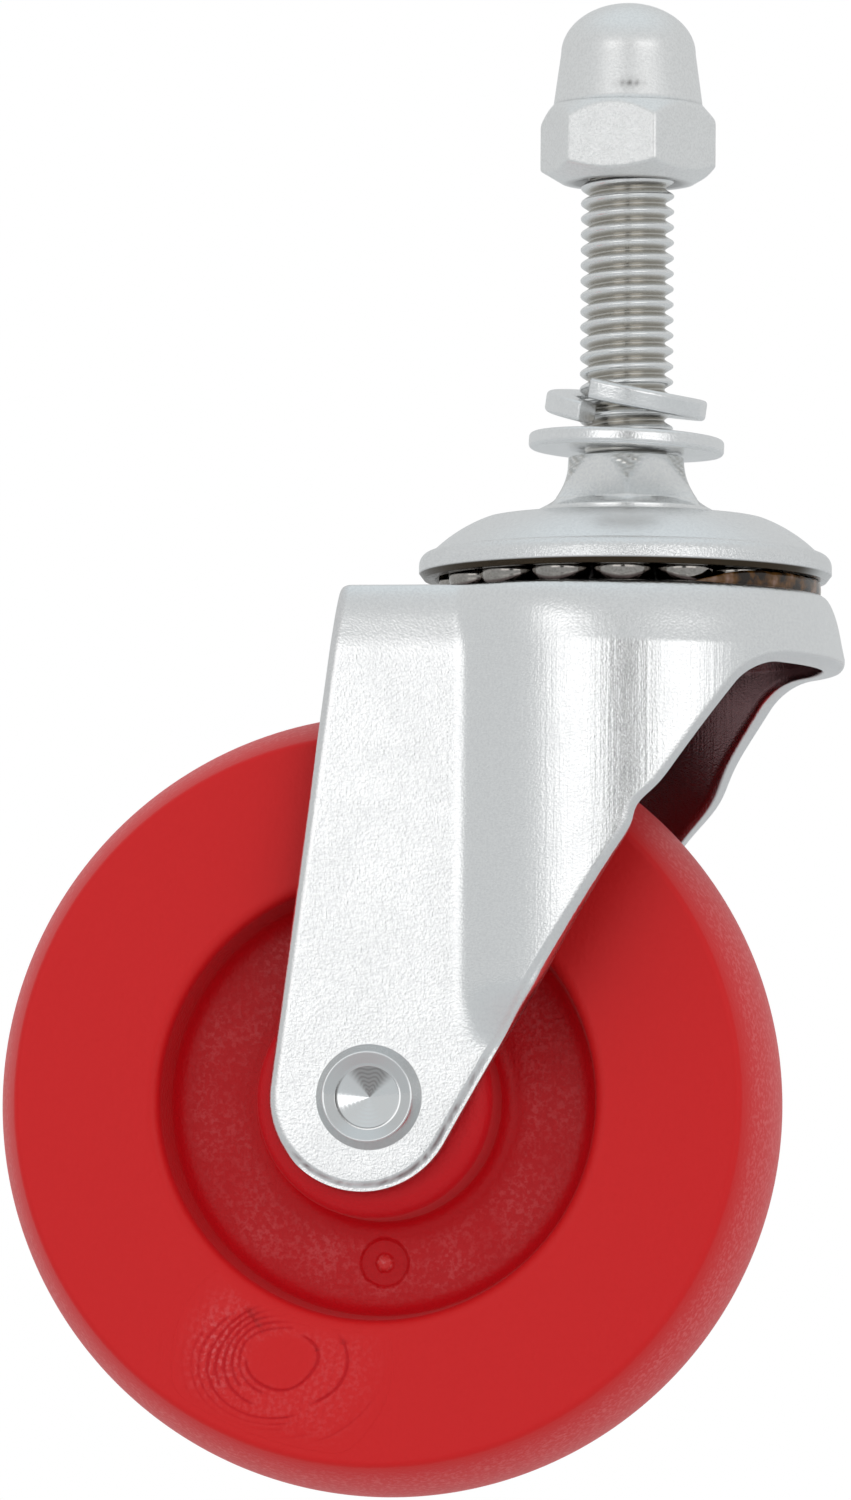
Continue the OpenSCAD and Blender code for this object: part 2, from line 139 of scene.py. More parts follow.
def turnedGrid(profile, turns):
    # each [radius, height] of the profile carried round Z through the turns, in radians
    return polar(profile[:, :1], turns, profile[:, 1:])


def rowGrids(rows, turns):
    # radius and height of each row, given once or for every turn, as two grids by row and turn
    return (np.stack([row[k] * np.ones_like(turns) for row in rows]) for k in (0, 1))


def roundTurns(n):
    # n equal steps of a full turn from zero, in radians
    return np.arange(n) * 2 * np.pi / n


# camera: a long lens from a little below the axle and to its right
view = {
    "azimuth": 7.5,       # degrees round from the front, towards +X
    "elevation": -4.5,    # below the horizon
    "roll": 0.42,
    "distance": 1.2,      # metres from the shoulder
    "pixelsPerMm": 9.82,
    "imageSize": (851, 1500),
    "sensor": 36.0,       # height in millimetres
    "clip": (0.05, 50.0),
    "shoulderPixel": (626.05, 458.0),  # where the origin falls in the image
}


def placeCamera(v):
    # right, up and back of the view from its two angles, then turned by the roll
    a, e, r = (math.radians(v[k]) for k in ("azimuth", "elevation", "roll"))
    back = np.array([math.sin(a) * math.cos(e), -math.cos(a) * math.cos(e), math.sin(e)])
    right0 = np.array([math.cos(a), math.sin(a), 0.0])
    up0 = np.cross(back, right0)
    right = right0 * math.cos(r) + up0 * math.sin(r)
    up = up0 * math.cos(r) - right0 * math.sin(r)
    pixel = mm / v["pixelsPerMm"]
    wide, high = v["imageSize"]
    offX = (v["shoulderPixel"][0] - wide / 2) * pixel
    offY = (high / 2 - v["shoulderPixel"][1]) * pixel
    cam = bpy.data.cameras.new("photoCamera")
    cam.sensor_fit = "VERTICAL"
    cam.sensor_height = v["sensor"]
    cam.lens = v["sensor"] * v["distance"] / (high * pixel)
    cam.clip_start, cam.clip_end = v["clip"]
    place = np.eye(4)
    place[:3, 0], place[:3, 1], place[:3, 2] = right, up, back
    place[:3, 3] = back * v["distance"] - right * offX - up * offY
    holder = bpy.data.objects.new("photoCamera", cam)
    holder.matrix_world = place.T
    scene.collection.objects.link(holder)
    scene.camera = holder


placeCamera(view)
print("camera placed")


def addNode(tree, kind, settings=None, **inputs):
    # a node with its settings, and its input sockets by name with _ for a space
    made = tree.nodes.new(kind)
    for key, value in (settings or {}).items():
        setattr(made, key, value)
    for key, value in inputs.items():
        made.inputs[key.replace("_", " ")].default_value = value
    return made


def newGroup(name, ins, outs):
    # an empty shader group with float or vector inputs and outputs by name
    group = bpy.data.node_groups.new(name, "ShaderNodeTree")
    for label, kind, value in ins:
        socket = group.interface.new_socket(label, in_out="INPUT", socket_type=kind)
        if value is not None:
            socket.default_value = value
    for label, kind in outs:
        group.interface.new_socket(label, in_out="OUTPUT", socket_type=kind)
    return group, group.nodes.new("NodeGroupInput"), group.nodes.new("NodeGroupOutput")


def grainGroup():
    # fine speckle, soft blotches and drawn streaks along Z, each from noise at its own scale
    f, v = "NodeSocketFloat", "NodeSocketVector"
    group, gin, gout = newGroup(
        "surfaceGrain",
        [("Vector", v, None), ("Speckle Scale", f, 2500.0), ("Blotch Scale", f, 300.0),
         ("Streak Scale", f, 900.0)],
        [("Speckle", f), ("Blotch", f), ("Streak", f)],
    )
    link = group.links.new
    for label, detail, squash in (("Speckle", 2.0, 1.0), ("Blotch", 3.0, 1.0), ("Streak", 3.0, 0.025)):
        noise = addNode(group, "ShaderNodeTexNoise", Detail=detail, Roughness=0.55)
        shaped = addNode(group, "ShaderNodeVectorMath", {"operation": "MULTIPLY"})
        shaped.inputs[1].default_value = (1.0, 1.0, squash)
        link(gin.outputs["Vector"], shaped.inputs[0])
        link(shaped.outputs[0], noise.inputs["Vector"])
        link(gin.outputs[label + " Scale"], noise.inputs["Scale"])
        link(noise.outputs["Fac"], gout.inputs[label])
    return group


grain = grainGroup()


def plug(tree, socket, value):
    # a link where the value is another node's output, else a constant on the socket
    if isinstance(value, bpy.types.NodeSocket):
        tree.links.new(value, socket)
    else:
        socket.default_value = value


def mathNode(tree, operation, *values):
    # the output of a maths node that is fed by outputs or constants
    made = addNode(tree, "ShaderNodeMath", {"operation": operation})
    for socket, value in zip(made.inputs, values):
        plug(tree, socket, value)
    return made.outputs[0]


def mixColour(tree, share, first, second):
    # the first colour turned to the second by a share; each is an output or a red, green, blue tuple
    made = addNode(tree, "ShaderNodeMix", {"data_type": "RGBA"})
    plug(tree, made.inputs[0], share)
    for at, tone in ((6, first), (7, second)):
        plug(tree, made.inputs[at], (*tone, 1.0) if isinstance(tone, tuple) else tone)
    return made.outputs[2]


def ramp(tree, source, stops):
    # a colour ramp with (position, grey or colour) stops
    made = tree.nodes.new("ShaderNodeValToRGB")
    cells = made.color_ramp.elements
    while len(cells) < len(stops):
        cells.new(0.5)
    for cell, (place, value) in zip(cells, stops):
        cell.position = place
        cell.color = (value, value, value, 1.0) if np.isscalar(value) else (*value, 1.0)
    tree.links.new(source, made.inputs["Fac"])
    return made.outputs["Color"]


def eased(tree, source, start, stop, low=0.0, high=1.0):
    # low before start, high past stop, and a smooth step between
    made = addNode(tree, "ShaderNodeMapRange", {"interpolation_type": "SMOOTHSTEP"},
                   From_Min=start, From_Max=stop, To_Min=low, To_Max=high)
    tree.links.new(source, made.inputs["Value"])
    return made.outputs["Result"]


def softBand(tree, source, low, high, soft):
    # 1 between low and high, easing to 0 over soft on each side
    rise = eased(tree, source, low - soft / 2, low + soft / 2)
    fall = eased(tree, source, high - soft / 2, high + soft / 2, 1.0, 0.0)
    return mathNode(tree, "MULTIPLY", rise, fall)


def pointMask(tree, label):
    # a mask held by the mesh's points
    return addNode(tree, "ShaderNodeAttribute", {"attribute_name": label}).outputs["Fac"]


def newFinish(name, speckle, blotch, streak):
    # a material with the grain on Object coordinates, its tree, shader, coordinates and grain outputs
    finish = bpy.data.materials.new(name)
    finish.use_nodes = True
    tree = finish.node_tree
    place = addNode(tree, "ShaderNodeTexCoord").outputs["Object"]
    marks = addNode(tree, "ShaderNodeGroup", {"node_tree": grain},
                    Speckle_Scale=speckle, Blotch_Scale=blotch, Streak_Scale=streak)
    tree.links.new(place, marks.inputs["Vector"])
    return finish, tree, tree.nodes["Principled BSDF"], place, marks.outputs


def addBump(tree, skin, height, strength, depth):
    # a bump by height, in metres at full strength, on the shader's normal
    bump = addNode(tree, "ShaderNodeBump", Distance=depth)
    tree.links.new(strength, bump.inputs["Strength"])
    tree.links.new(height, bump.inputs["Height"])
    tree.links.new(bump.outputs["Normal"], skin.inputs["Normal"])


zincLook = {
    "light": (0.91, 0.915, 0.915), "dark": (0.85, 0.855, 0.86), "shade": (0.20, 0.19, 0.185),
    "rough": (0.22, 0.27), "speckleScale": 4200.0, "blotchScale": 260.0, "streakScale": 2600.0,
    "streak": 0.0, "streakBand": (-0.006, 0.016, 0.008),    # from and to in X, and softness, in metres
    "bump": 0.30, "coarse": 0.60, "bumpDepth": 0.00009,
}


def metalFinish(name, **changes):
    # zinc over pressed steel: tone from speckle, roughness from blotches, bump from speckle and streaks;
    # the point mask "shade" turns it to the look's shade colour, "coarse" deepens the bump
    look = {**zincLook, **changes}
    scales = (look[k] for k in ("speckleScale", "blotchScale", "streakScale"))
    finish, tree, skin, place, marks = newFinish(name, *scales)
    link = tree.links.new
    skin.inputs["Metallic"].default_value = 1.0
    tone = ramp(tree, marks["Speckle"], [(0.36, look["dark"]), (0.60, look["light"])])
    link(mixColour(tree, pointMask(tree, "shade"), tone, look["shade"]), skin.inputs["Base Color"])
    smooth, matt = look["rough"]
    link(ramp(tree, marks["Blotch"], [(0.3, smooth), (0.7, matt)]), skin.inputs["Roughness"])
    height = marks["Speckle"]
    if look["streak"]:
        # streaks only in the band of X that was rubbed by the press
        axes = addNode(tree, "ShaderNodeSeparateXYZ")
        link(place, axes.inputs[0])
        band = softBand(tree, axes.outputs["X"], *look["streakBand"])
        drawn = mathNode(tree, "MULTIPLY", marks["Streak"], band)
        height = mathNode(tree, "MULTIPLY_ADD", drawn, look["streak"], height)
    strength = mathNode(tree, "MULTIPLY_ADD", pointMask(tree, "coarse"), look["coarse"], look["bump"])
    addBump(tree, skin, height, strength, look["bumpDepth"])
    return finish


zinc = metalFinish("zincPlate")
# the fork's shade colour is painted shade on its inside, reddened as a painted reflection of the wheel
forkZinc = metalFinish("forkZinc", streak=1.3, shade=(0.21, 0.125, 0.13))
# the cap's shade colour darkens its underside: grease and painted shade
capZinc = metalFinish("capZinc", shade=(0.06, 0.045, 0.03))
# the thread's shade colour darkens its valleys as painted shade, and the neck's scaly corners
threadZinc = metalFinish("threadZinc", shade=(0.56, 0.54, 0.50), light=(0.92, 0.92, 0.91), bump=0.12)
rivetZinc = metalFinish("rivetZinc", light=(0.84, 0.86, 0.865), rough=(0.12, 0.16), bump=0.04)
dullZinc = metalFinish("dullZinc", rough=(0.34, 0.42), light=(0.95, 0.95, 0.945), dark=(0.87, 0.87, 0.865))
# the balls' steel is darkened for grease and as a painted reflection of the dark gap round them
ballSteel = metalFinish("ballSteel", light=(0.42, 0.395, 0.37), dark=(0.32, 0.30, 0.28), rough=(0.08, 0.12),
                        bump=0.01)

plasticLook = {
    # deep is the colour in painted shade; the pale flecks' colour serves for frosting and painted highlight
    "colour": (0.80, 0.014, 0.016), "deep": (0.67, 0.004, 0.010), "frostAndHighlight": (0.95, 0.22, 0.23),
    "rough": 0.45, "gloss": 0.26, "sheen": (0.06, 0.4), "grainScale": 2200.0,
    "bump": 0.35, "deepBump": 0.5, "bumpDepth": 0.0001,
}


def plasticFinish(name, look):
    # moulded plastic with a fine eroded grain in the bump: the point mask "shade" deepens its colour as
    # painted shade, and its grain; "frostAndHighlight" scatters pale flecks: frosting, and painted highlight
    # and sheen
    finish, tree, skin, _, marks = newFinish(name, look["grainScale"], 200.0, 500.0)
    skin.inputs["Roughness"].default_value = look["rough"]
    skin.inputs["Specular IOR Level"].default_value = look["gloss"]
    skin.inputs["Sheen Weight"].default_value, skin.inputs["Sheen Roughness"].default_value = look["sheen"]
    shade = pointMask(tree, "shade")
    body = mixColour(tree, shade, look["colour"], look["deep"])
    pale = ramp(tree, marks["Speckle"], [(0.46, 0.15), (0.66, 1.0)])
    flecks = mathNode(tree, "MULTIPLY", pointMask(tree, "frostAndHighlight"), pale)
    tree.links.new(mixColour(tree, flecks, body, look["frostAndHighlight"]), skin.inputs["Base Color"])
    strength = mathNode(tree, "MULTIPLY_ADD", shade, look["deepBump"], look["bump"])
    addBump(tree, skin, marks["Speckle"], strength, look["bumpDepth"])
    return finish


redPlastic = plasticFinish("redPlastic", plasticLook)

greaseLook = {"dark": (0.016, 0.007, 0.002), "amber": (0.15, 0.06, 0.008), "pale": (0.34, 0.21, 0.16),
              "rough": 0.16, "scale": 520.0}


def greaseFinish(name, look):
    # thick, glossy grease: tone from dark through amber to pale by blotches
    finish, tree, skin, _, marks = newFinish(name, look["scale"] * 4, look["scale"], 500.0)
    skin.inputs["Roughness"].default_value = look["rough"]
    tone = ramp(tree, marks["Blotch"], [(0.40, look["dark"]), (0.56, look["amber"]), (0.74, look["pale"])])
    tree.links.new(tone, skin.inputs["Base Color"])
    return finish


grease = greaseFinish("grease", greaseLook)
print("finishes made")


def smoothStep(x, a, b):
    # 0 at a, 1 at b, with a level start and end
    t = np.clip((x - a) / (b - a), 0, 1)
    return t * t * (3 - 2 * t)


def bell(x, middle, width):
    # 1 at the middle, falling to 1/e at the width
    return np.exp(-(((x - middle) / width) ** 2))


def softMin(a, b, width):
    # the lower of two heights, blended over the given width where they meet
    h = np.clip(0.5 + 0.5 * (b - a) / width, 0, 1)
    return b + (a - b) * h - width * h * (1 - h)


# sizes that several pieces share: the axle's x and z, the legs' outer faces, and the upper balls' race
shared = {"axle": (-23.55, -66.02), "legY": 17.5, "raceRadius": 16.0, "raceZ": -12.66, "raceFit": 3.05}

# wheel: crowned tread, recessed faces, web and hub; the near web has an ejector mark
wheelShape = {
    **shared, "radius": 39.75, "rim": 12.0, "treadRadius": 26.0, "treadRound": 0.8,
    "recess": 22.1, "recessRound": 1.25, "draft": 0.45, "floorFillet": 2.0, "web": 4.8,
    "hub": 12.0, "hubEnd": 14.9, "hubRound": 2.0, "hubFillet": 1.6, "bore": 5.86,
    "markRadius": 2.5, "markDepth": 0.5, "markNub": 0.9, "markAt": 16.15,
    "turns": 400, "crowd": 0.75,          # share by which the turns close up at the mark
    # the tread's frosting is partly painted sheen at its grazing edges
    "treadFrostAndSheen": 0.45, "webFrost": (0.11, 0.2), "nubFrost": 0.8,
}


def wheelHalf(w, webRows):
    # half section from the bore round the hub, web, recess wall and rim to the middle of the tread
    side = w["rim"] - w["treadRound"]
    inset = w["treadRadius"] - w["treadRound"]
    cornerR = w["radius"] - w["treadRadius"] + math.sqrt(inset**2 - side**2)
    cornerTurn = math.degrees(math.asin(side / inset))
    wallTurn = math.degrees(math.atan(w["draft"] / (w["rim"] - w["web"])))
    floor = w["recess"] - w["draft"]
    webIn, webOut = w["hub"] + w["hubFillet"], floor - w["floorFillet"]
    web = np.stack([np.linspace(webIn, webOut, webRows), np.full(webRows, w["web"])], 1)
    return chain(
        (w["bore"], w["hubEnd"] - 0.5), (w["bore"] + 0.5, w["hubEnd"]),
        arc((w["hub"] - w["hubRound"], w["hubEnd"] - w["hubRound"]), w["hubRound"], 90, 0),
        arc((webIn, w["web"] + w["hubFillet"]), w["hubFillet"], 180, 270),
        web[1:-1],
        arc((webOut, w["web"] + w["floorFillet"]), w["floorFillet"], 270, 360 - wallTurn),
        arc((w["recess"] + w["recessRound"], w["rim"] - w["recessRound"]),
            w["recessRound"], 180 - wallTurn, 90),
        arc((cornerR, side), w["treadRound"], 90, cornerTurn, 6),
        arc((w["radius"] - w["treadRadius"], 0), w["treadRadius"], cornerTurn, 0, 24)[1:],
    )


def makeWheel(w):
    # the half section and its mirror turned about the axle
    near, far = supported(wheelHalf(w, 48), 0.16), supported(wheelHalf(w, 4), 0.16)
    section = chain(near * (1, -1), far[::-1][1:])
    even = np.linspace(0, 1, w["turns"], endpoint=False)
    turns = 2 * np.pi * (even - w["crowd"] * np.sin(2 * np.pi * even) / (2 * np.pi)) - np.pi / 2
    r, y = section[:, 0][:, None], np.repeat(section[:, 1][:, None], len(turns), 1)
    x, z = r * np.cos(turns), r * np.sin(turns)
    # mark: a shallow round pit with a rounded nub in its middle
    away = np.hypot(x, z + w["markAt"])
    pit = smoothStep(away, w["markRadius"] + 0.12, w["markRadius"] - 0.25)
    pit = pit - smoothStep(away, w["markNub"] + 0.15, w["markNub"] - 0.35)
    y = y + np.where((y < 0) & (np.abs(y + w["web"]) < 0.02), pit * w["markDepth"], 0)
    points = np.stack([x + w["axle"][0], y, z + w["axle"][1]], -1)
    # painted shade darkens the recess and the pit; the web and the pit's nub are frosted, and the tread's
    # frosting is partly painted sheen
    ones = np.ones_like(y)
    inRecess = smoothStep(r, w["recess"] + 0.5, w["recess"] - 0.1) * ones
    tread = smoothStep(r, w["radius"] - 2.6, w["radius"] - 1.2) * ones
    pastHub = smoothStep(r, w["hub"] + 1.5, w["hub"] + 3.0)
    onWeb = pastHub * smoothStep(r, w["recess"] - 1.2, w["recess"] - 3.2) * ones
    patchy = 0.5 + 0.5 * np.sin(0.55 * x + 0.3 * z) * np.sin(0.35 * z - 0.4 * x + 1.0)
    inPit = smoothStep(away, w["markRadius"] + 0.1, w["markRadius"] - 0.3)
    nub = smoothStep(away, w["markNub"] + 0.1, w["markNub"] - 0.3)
    least, more = w["webFrost"]
    webFrost = onWeb * (least + more * patchy) * (1 - inPit)
    frostAndHighlight = np.maximum(np.maximum(w["treadFrostAndSheen"] * tread, webFrost), w["nubFrost"] * nub)
    masks = {"shade": np.maximum(inRecess, inPit) * (1 - nub), "frostAndHighlight": frostAndHighlight}
    shell = stackGrids([(points, True, True)])
    return makePiece("wheel", *shell, redPlastic, "wheel", ["wheel"], "red_plastic", masks)


makeWheel(wheelShape)

# flow mark: low rings in the near face where the melt came to rest, with a crumbled patch beside them
flowShape = {
    "at": (-9.4, -26.3), "within": (23.4, 36.0), "reach": 11.5, "high": 0.16, "wide": 1.26, "groove": 0.13,
    "rows": 150, "turns": 340, "fade": 18.0,
    # each ring: size in mm, from and to in degrees, depth
    "rings": [(2.9, -190, 60, 1.0), (3.5, 60, 250, 0.7), (4.1, 40, 220, 0.9), (4.7, 70, 245, 0.9),
              (5.3, -60, 210, 1.0), (5.9, 95, 290, 1.0), (6.6, 130, 285, 0.8), (7.2, 150, 280, 0.8),
              (8.0, 165, 300, 0.7), (8.8, -75, -10, 0.8), (8.8, 190, 262, 0.7)],
}


def flowReach(m, turns):
    # length of each ray from the mark's middle, so that all stay on the flat of the wheel's face
    cx, cz = m["at"]
    away, aim = math.hypot(cx, cz), np.cos(turns - math.atan2(cz, cx))
    low, high = (np.sqrt(np.maximum(r**2 - away**2 * (1 - aim**2), 0)) for r in m["within"])
    inner = np.where((aim < 0) & (low > 0), -away * aim - low, 99.0)
    return softMin(softMin(inner, -away * aim + high, 1.0), np.full_like(turns, m["reach"]), 1.0)


def makeFlowMark(m, w):
    # polar grid about the mark's middle: a thin swell, cut by a groove along each ring, closed beneath
    turns = roundTurns(m["turns"])
    share = np.linspace(0, 1, m["rows"])[:, None]
    d = share * flowReach(m, turns)
    dx, dz = d * np.cos(turns), d * np.sin(turns)
    ring = np.hypot(dx / m["wide"], dz / 0.98 - 0.06 * dx) + 0.12 * np.sin(3 * turns + 0.9 * d)
    swell = smoothStep(share, 1.0, 0.55) * np.ones_like(d)
    cut = np.zeros_like(d)
    for size, low, high, deep in m["rings"]:
        off = np.mod(np.degrees(turns) - low, 360)
        span = smoothStep(off, 0, m["fade"]) * smoothStep(off, high - low, high - low - m["fade"])
        cut = np.maximum(cut, deep * span * bell(ring, size, m["groove"]))
    # crumbs: crossed waves to the left of the rings
    crumbs = np.sin(5.1 * dx + 3.0 * dz) * np.sin(4.3 * dz - 2.2 * dx + 1.3)
    crumbs = crumbs + 0.6 * np.sin(8.3 * dx - 2.0 * dz)
    left = bell(dx, -7.2, 2.6) * bell(dz, 1.2, 4.2) + 0.35 * smoothStep(ring, 2.2, 3.4)
    cut = np.clip(cut + 0.45 * left * np.clip(crumbs, 0, 1), 0, 1)
    top = -w["rim"] - m["high"] * swell * (1 - 0.92 * cut)
    edge = np.where(share > 0.985, 0.3, 0.0)          # the border dips under the face
    x, z = m["at"][0] + w["axle"][0], m["at"][1] + w["axle"][1]
    grid = np.stack([dx + x, top + edge, dz + z], -1)
    low = np.array([[[x, 1.0 - w["rim"], z]]])
    base = low + (grid[-1:] - low) * np.array([0.97, 0.5, 0.0])[:, None, None] * (1, 0, 1)
    # painted shade darkens the grooves, and pale flecks on the crumbled patch stand in for its highlights:
    # painted highlight
    plain = np.zeros((3, m["turns"]))
    masks = {"shade": np.concatenate([1.5 * swell * cut, plain]),
             "frostAndHighlight": np.concatenate([0.45 * swell * left * (1 - cut), plain])}
    shell = stackGrids([(np.concatenate([grid, base]), False, True)])
    return makePiece("flowMark", *shell, redPlastic, "wheel", (), "red_plastic", masks)


makeFlowMark(flowShape, wheelShape)

# fork: one pressed sheet, a round front wall with two flat legs under a crown with a ball race on each side
forkShape = {
    **shared, "sheet": 2.3, "frontRadius": 22.35, "crownZ": -14.27, "bendHigh": 4.0, "bendIn": 1.4,
    "crease": 4.0, "skirtZ": -21.87, "skirtRun": 7.0, "skirtFillet": 6.5, "edgeSag": 0.95,
    "legEnd": 9.45, "lean": 7.4, "legMid": (-24.3, -66.02), "hole": 6.0,
    "lowRace": 9.2, "lowZ": -18.12, "lowFit": 2.05, "lowHalf": 1.4,     # lower balls' race, under the crown
    "holeRows": (6.1, 7.8), "midRows": (10.6, 12.0, 12.9),              # radii of the rows beside it
    "greaseAndShade": (0.8, 19.9, 19.2),            # grease with painted shade on the crown: amount, radii where it starts and is full
    "footZ": (-46.0, -56.0), "shadeLineZ": (-60.0, -66.0),   # heights where the foot's lip and the painted shade line set in
    "cleanTurn": (262, 8),                  # stretch of the foot without the painted shade line, in degrees: middle and width
    "creaseGap": 0.05,
    "roll": 1.05,                           # width of the rounded sheared edge
    "draft": 0.95, "draftHigh": 6.3,        # the front wall leans in towards the top
    "flatHigh": -54.5, "flatLow": -61.0,    # the crease fades out between these heights
    "pocket": (0.9, 3.4, 1.7),              # hollow under the rivet's head: depth, outer and inner radius
    # step in each leg's front edge: depth, height, width
    "nick": {-1: (-0.8, -36.9, 1.6), 1: (1.0, -34.0, 3.0)},
    "wallRows": 44, "bendRows": 10, "levelColumns": 61, "rearColumns": 30,
}


def creaseX(f):
    # x at which the crease meets the flat of the leg
    return -math.sqrt((f["frontRadius"] + f["crease"]) ** 2 - (f["legY"] + f["crease"]) ** 2)


def forkPath(f, s):
    # plan of the near half by length s from the front: arc, hollow crease arc, leg; gives x, y and normal
    big, c, leg, cx = f["frontRadius"], f["crease"], f["legY"], creaseX(f)
    turnEnd = math.atan2(leg + c, cx)            # turn of the front arc where the crease starts
    s1 = big * turnEnd
    s2 = s1 + c * (turnEnd - math.pi / 2)
    t1 = np.clip(s, 0, s1) / big
    t2 = turnEnd - np.clip(s - s1, 0, s2 - s1) / c
    run = np.maximum(s - s2, 0)
    onArc, onCrease = s <= s1, (s > s1) & (s <= s2)
    x = np.where(onArc, big * np.cos(t1), np.where(onCrease, cx - c * np.cos(t2), cx - run))
    y = np.where(onArc, -big * np.sin(t1), np.where(onCrease, -(leg + c) + c * np.sin(t2), -leg))
    nx = np.where(onArc, np.cos(t1), np.where(onCrease, np.cos(t2), 0.0))
    ny = np.where(onArc, -np.sin(t1), np.where(onCrease, -np.sin(t2), -1.0))
    return x, y, nx, ny


def forkFlat(f, s, z):
    # plan by length s at height z: the crease flattens out into the leg towards its foot
    x, y, nx, ny = forkPath(f, s)
    flat = smoothStep(z, f["flatHigh"], f["flatLow"])
    nx = nx * (1 - flat)
    return x, y - (y + f["legY"]) * flat, nx, np.where(flat > 0, -np.sqrt(1 - nx**2), ny)


def forkLength(f, x):
    # length along the plan at a given x, from closely spaced points of the path
    s = np.linspace(0, 90, 9001)
    px = forkPath(f, s)[0]
    return np.interp(-x, -px, s)


def forkEdge(f, inset, side):
    # lower edge seen from the side, taken in by inset: leg end arc, hollow front edge with its fillet, level
    ax, az = f["legMid"]
    top = np.array([f["frontRadius"] - f["skirtRun"], f["skirtZ"]])
    run = top - (ax, az)
    span = math.sqrt(run @ run - f["legEnd"] ** 2)
    bow = 2 * math.atan(2 * f["edgeSag"] / span)
    turn = math.atan2(run[1], run[0]) - math.acos(f["legEnd"] / math.sqrt(run @ run)) + bow
    foot = np.array([ax, az]) + f["legEnd"] * np.array([math.cos(turn), math.sin(turn)])
    chord = top - foot
    length = math.sqrt(chord @ chord)
    along = chord / length
    big = (length / 2) ** 2 / (2 * f["edgeSag"]) + f["edgeSag"] / 2
    middle = (top + foot) / 2 + (big - f["edgeSag"]) * np.array([along[1], -along[0]])
    half, slope = math.asin(length / 2 / big), math.atan2(along[1], along[0])
    topSlope = slope - half
    lead = f["skirtFillet"] * math.tan(topSlope / 2)
    fillet = math.asin(lead / big)
    deg = math.degrees
    end = arc((ax, az), f["legEnd"] - inset, 180 - f["lean"], 360 + deg(turn), 46)
    hollow = arc(middle, big + inset, deg(slope + half) + 90, deg(slope - half + fillet) + 90, 90)
    turnIn = arc(top + (lead, -f["skirtFillet"]), f["skirtFillet"] + inset, deg(topSlope) + 90, 90, 20)
    edge = chain(hollow, turnIn[1:])
    depth, at, width = f["nick"][side]
    edge[:, 0] += depth * bell(edge[:, 1], at, width)
    return end, edge, f["skirtZ"] + inset


def forkColumns(f, inset, side):
    # length s and height z of the lower edge at each column, from the front to the rear foot
    end, mid, level = forkEdge(f, inset, side)
    sMid, sEnd = forkLength(f, mid[::-1, 0]), forkLength(f, end[::-1, 0])
    s = np.concatenate([np.linspace(0, 1, f["levelColumns"]) * sMid[0], sMid[1:], sEnd[1:]])
    z = np.concatenate([np.full(f["levelColumns"], level), mid[::-1, 1][1:], end[::-1, 1][1:]])
    return s, z


def forkWall(f, sLow, zLow):
    # outer skin by column and row, its normals and tilts: wall rows from the lower edge up, then the bend
    lean = math.radians(f["lean"])
    zTop = f["crownZ"] - f["bendHigh"]
    # top of each column: straight above on the front, drawn together on the flat leg
    midX, midZ = f["legMid"]
    rearX = midX - (f["legEnd"] - f["roll"]) / math.cos(lean) + (zTop - midZ) * math.tan(lean)
    sCrease, sRear = forkLength(f, np.array([creaseX(f), rearX]))
    gap = f["creaseGap"]
    onLeg = np.cumsum(sLow > sCrease + gap) > 0
    steps = np.concatenate([[0], np.hypot(np.diff(sLow), np.diff(zLow))])
    share = np.cumsum(np.where(onLeg, steps, 0))
    share = share / share[-1]
    sTop = np.where(onLeg, sCrease + gap + (sRear - sCrease - gap) * share, sLow)
    up = np.linspace(0, 1, f["wallRows"])
    sWall = sLow[:, None] + (sTop - sLow)[:, None] * up
    zWall = zLow[:, None] + (zTop - zLow)[:, None] * up
    slope = (sTop - sLow) / (zTop - zLow)
    turn = np.radians(np.linspace(0, 90, f["bendRows"] + 1))[1:]
    sBend = sTop[:, None] + slope[:, None] * f["bendHigh"] * np.sin(turn)
    zBend = np.broadcast_to(zTop + f["bendHigh"] * np.sin(turn), sBend.shape)
    z = np.concatenate([zWall, zBend], 1)
    tilt = np.concatenate([np.zeros(f["wallRows"]), turn])
    x, y, nx, ny = forkFlat(f, np.concatenate([sWall, sBend], 1), z)
    facing = np.arctan2(f["bendIn"] * np.sin(tilt), f["bendHigh"] * np.cos(tilt))
    upward = np.broadcast_to(np.sin(facing), nx.shape)
    normal = np.stack([nx * np.cos(facing), ny * np.cos(facing), upward], -1)
    below = np.clip((f["crownZ"] - z) / f["draftHigh"], 0, 1)
    back = f["bendIn"] * (1 - np.cos(tilt)) + f["draft"] * (1 - below**1.5) * smoothStep(nx, -0.5, 0.2)
    return np.stack([x - nx * back, y - ny * back, z], -1), normal, tilt


def forkCrown(f, rim):
    # rays from the rim in to the hole: the top dips to the upper race, the underside rises to the lower one
    reach = np.hypot(rim[:, 0], rim[:, 1])
    groove = f["raceFit"] * np.sin(np.radians(np.linspace(-76, 76, 25))) + f["raceRadius"]
    lower = f["lowRace"] + np.linspace(-1.3, 1.3, 8)
    radii = np.concatenate([[f["hole"], *f["holeRows"]], lower, f["midRows"], groove])
    outRow = groove[-1] + 0.06
    fan = np.concatenate([np.broadcast_to(radii, (len(rim), len(radii))),
                          outRow + (reach[:, None] - outRow) * np.linspace(0, 1, 7)], 1)
    aim = np.arctan2(rim[:, 1], rim[:, 0])[:, None]
    dip = f["raceZ"] - np.sqrt(np.maximum(f["raceFit"] ** 2 - (fan - f["raceRadius"]) ** 2, 0))
    inRace = np.abs(fan - f["raceRadius"]) < f["raceFit"]
    height = np.where(inRace, np.minimum(dip, f["crownZ"]), f["crownZ"])
    crown = polar(fan, aim, height)
    under = crown - (0, 0, f["sheet"])
    hollow = f["lowZ"] + np.sqrt(np.maximum(f["lowFit"] ** 2 - (fan - f["lowRace"]) ** 2, 0))
    inLow = np.abs(fan - f["lowRace"]) < f["lowHalf"]
    under[..., 2] = np.where(inLow, np.maximum(under[..., 2], hollow), under[..., 2])
    return crown, under


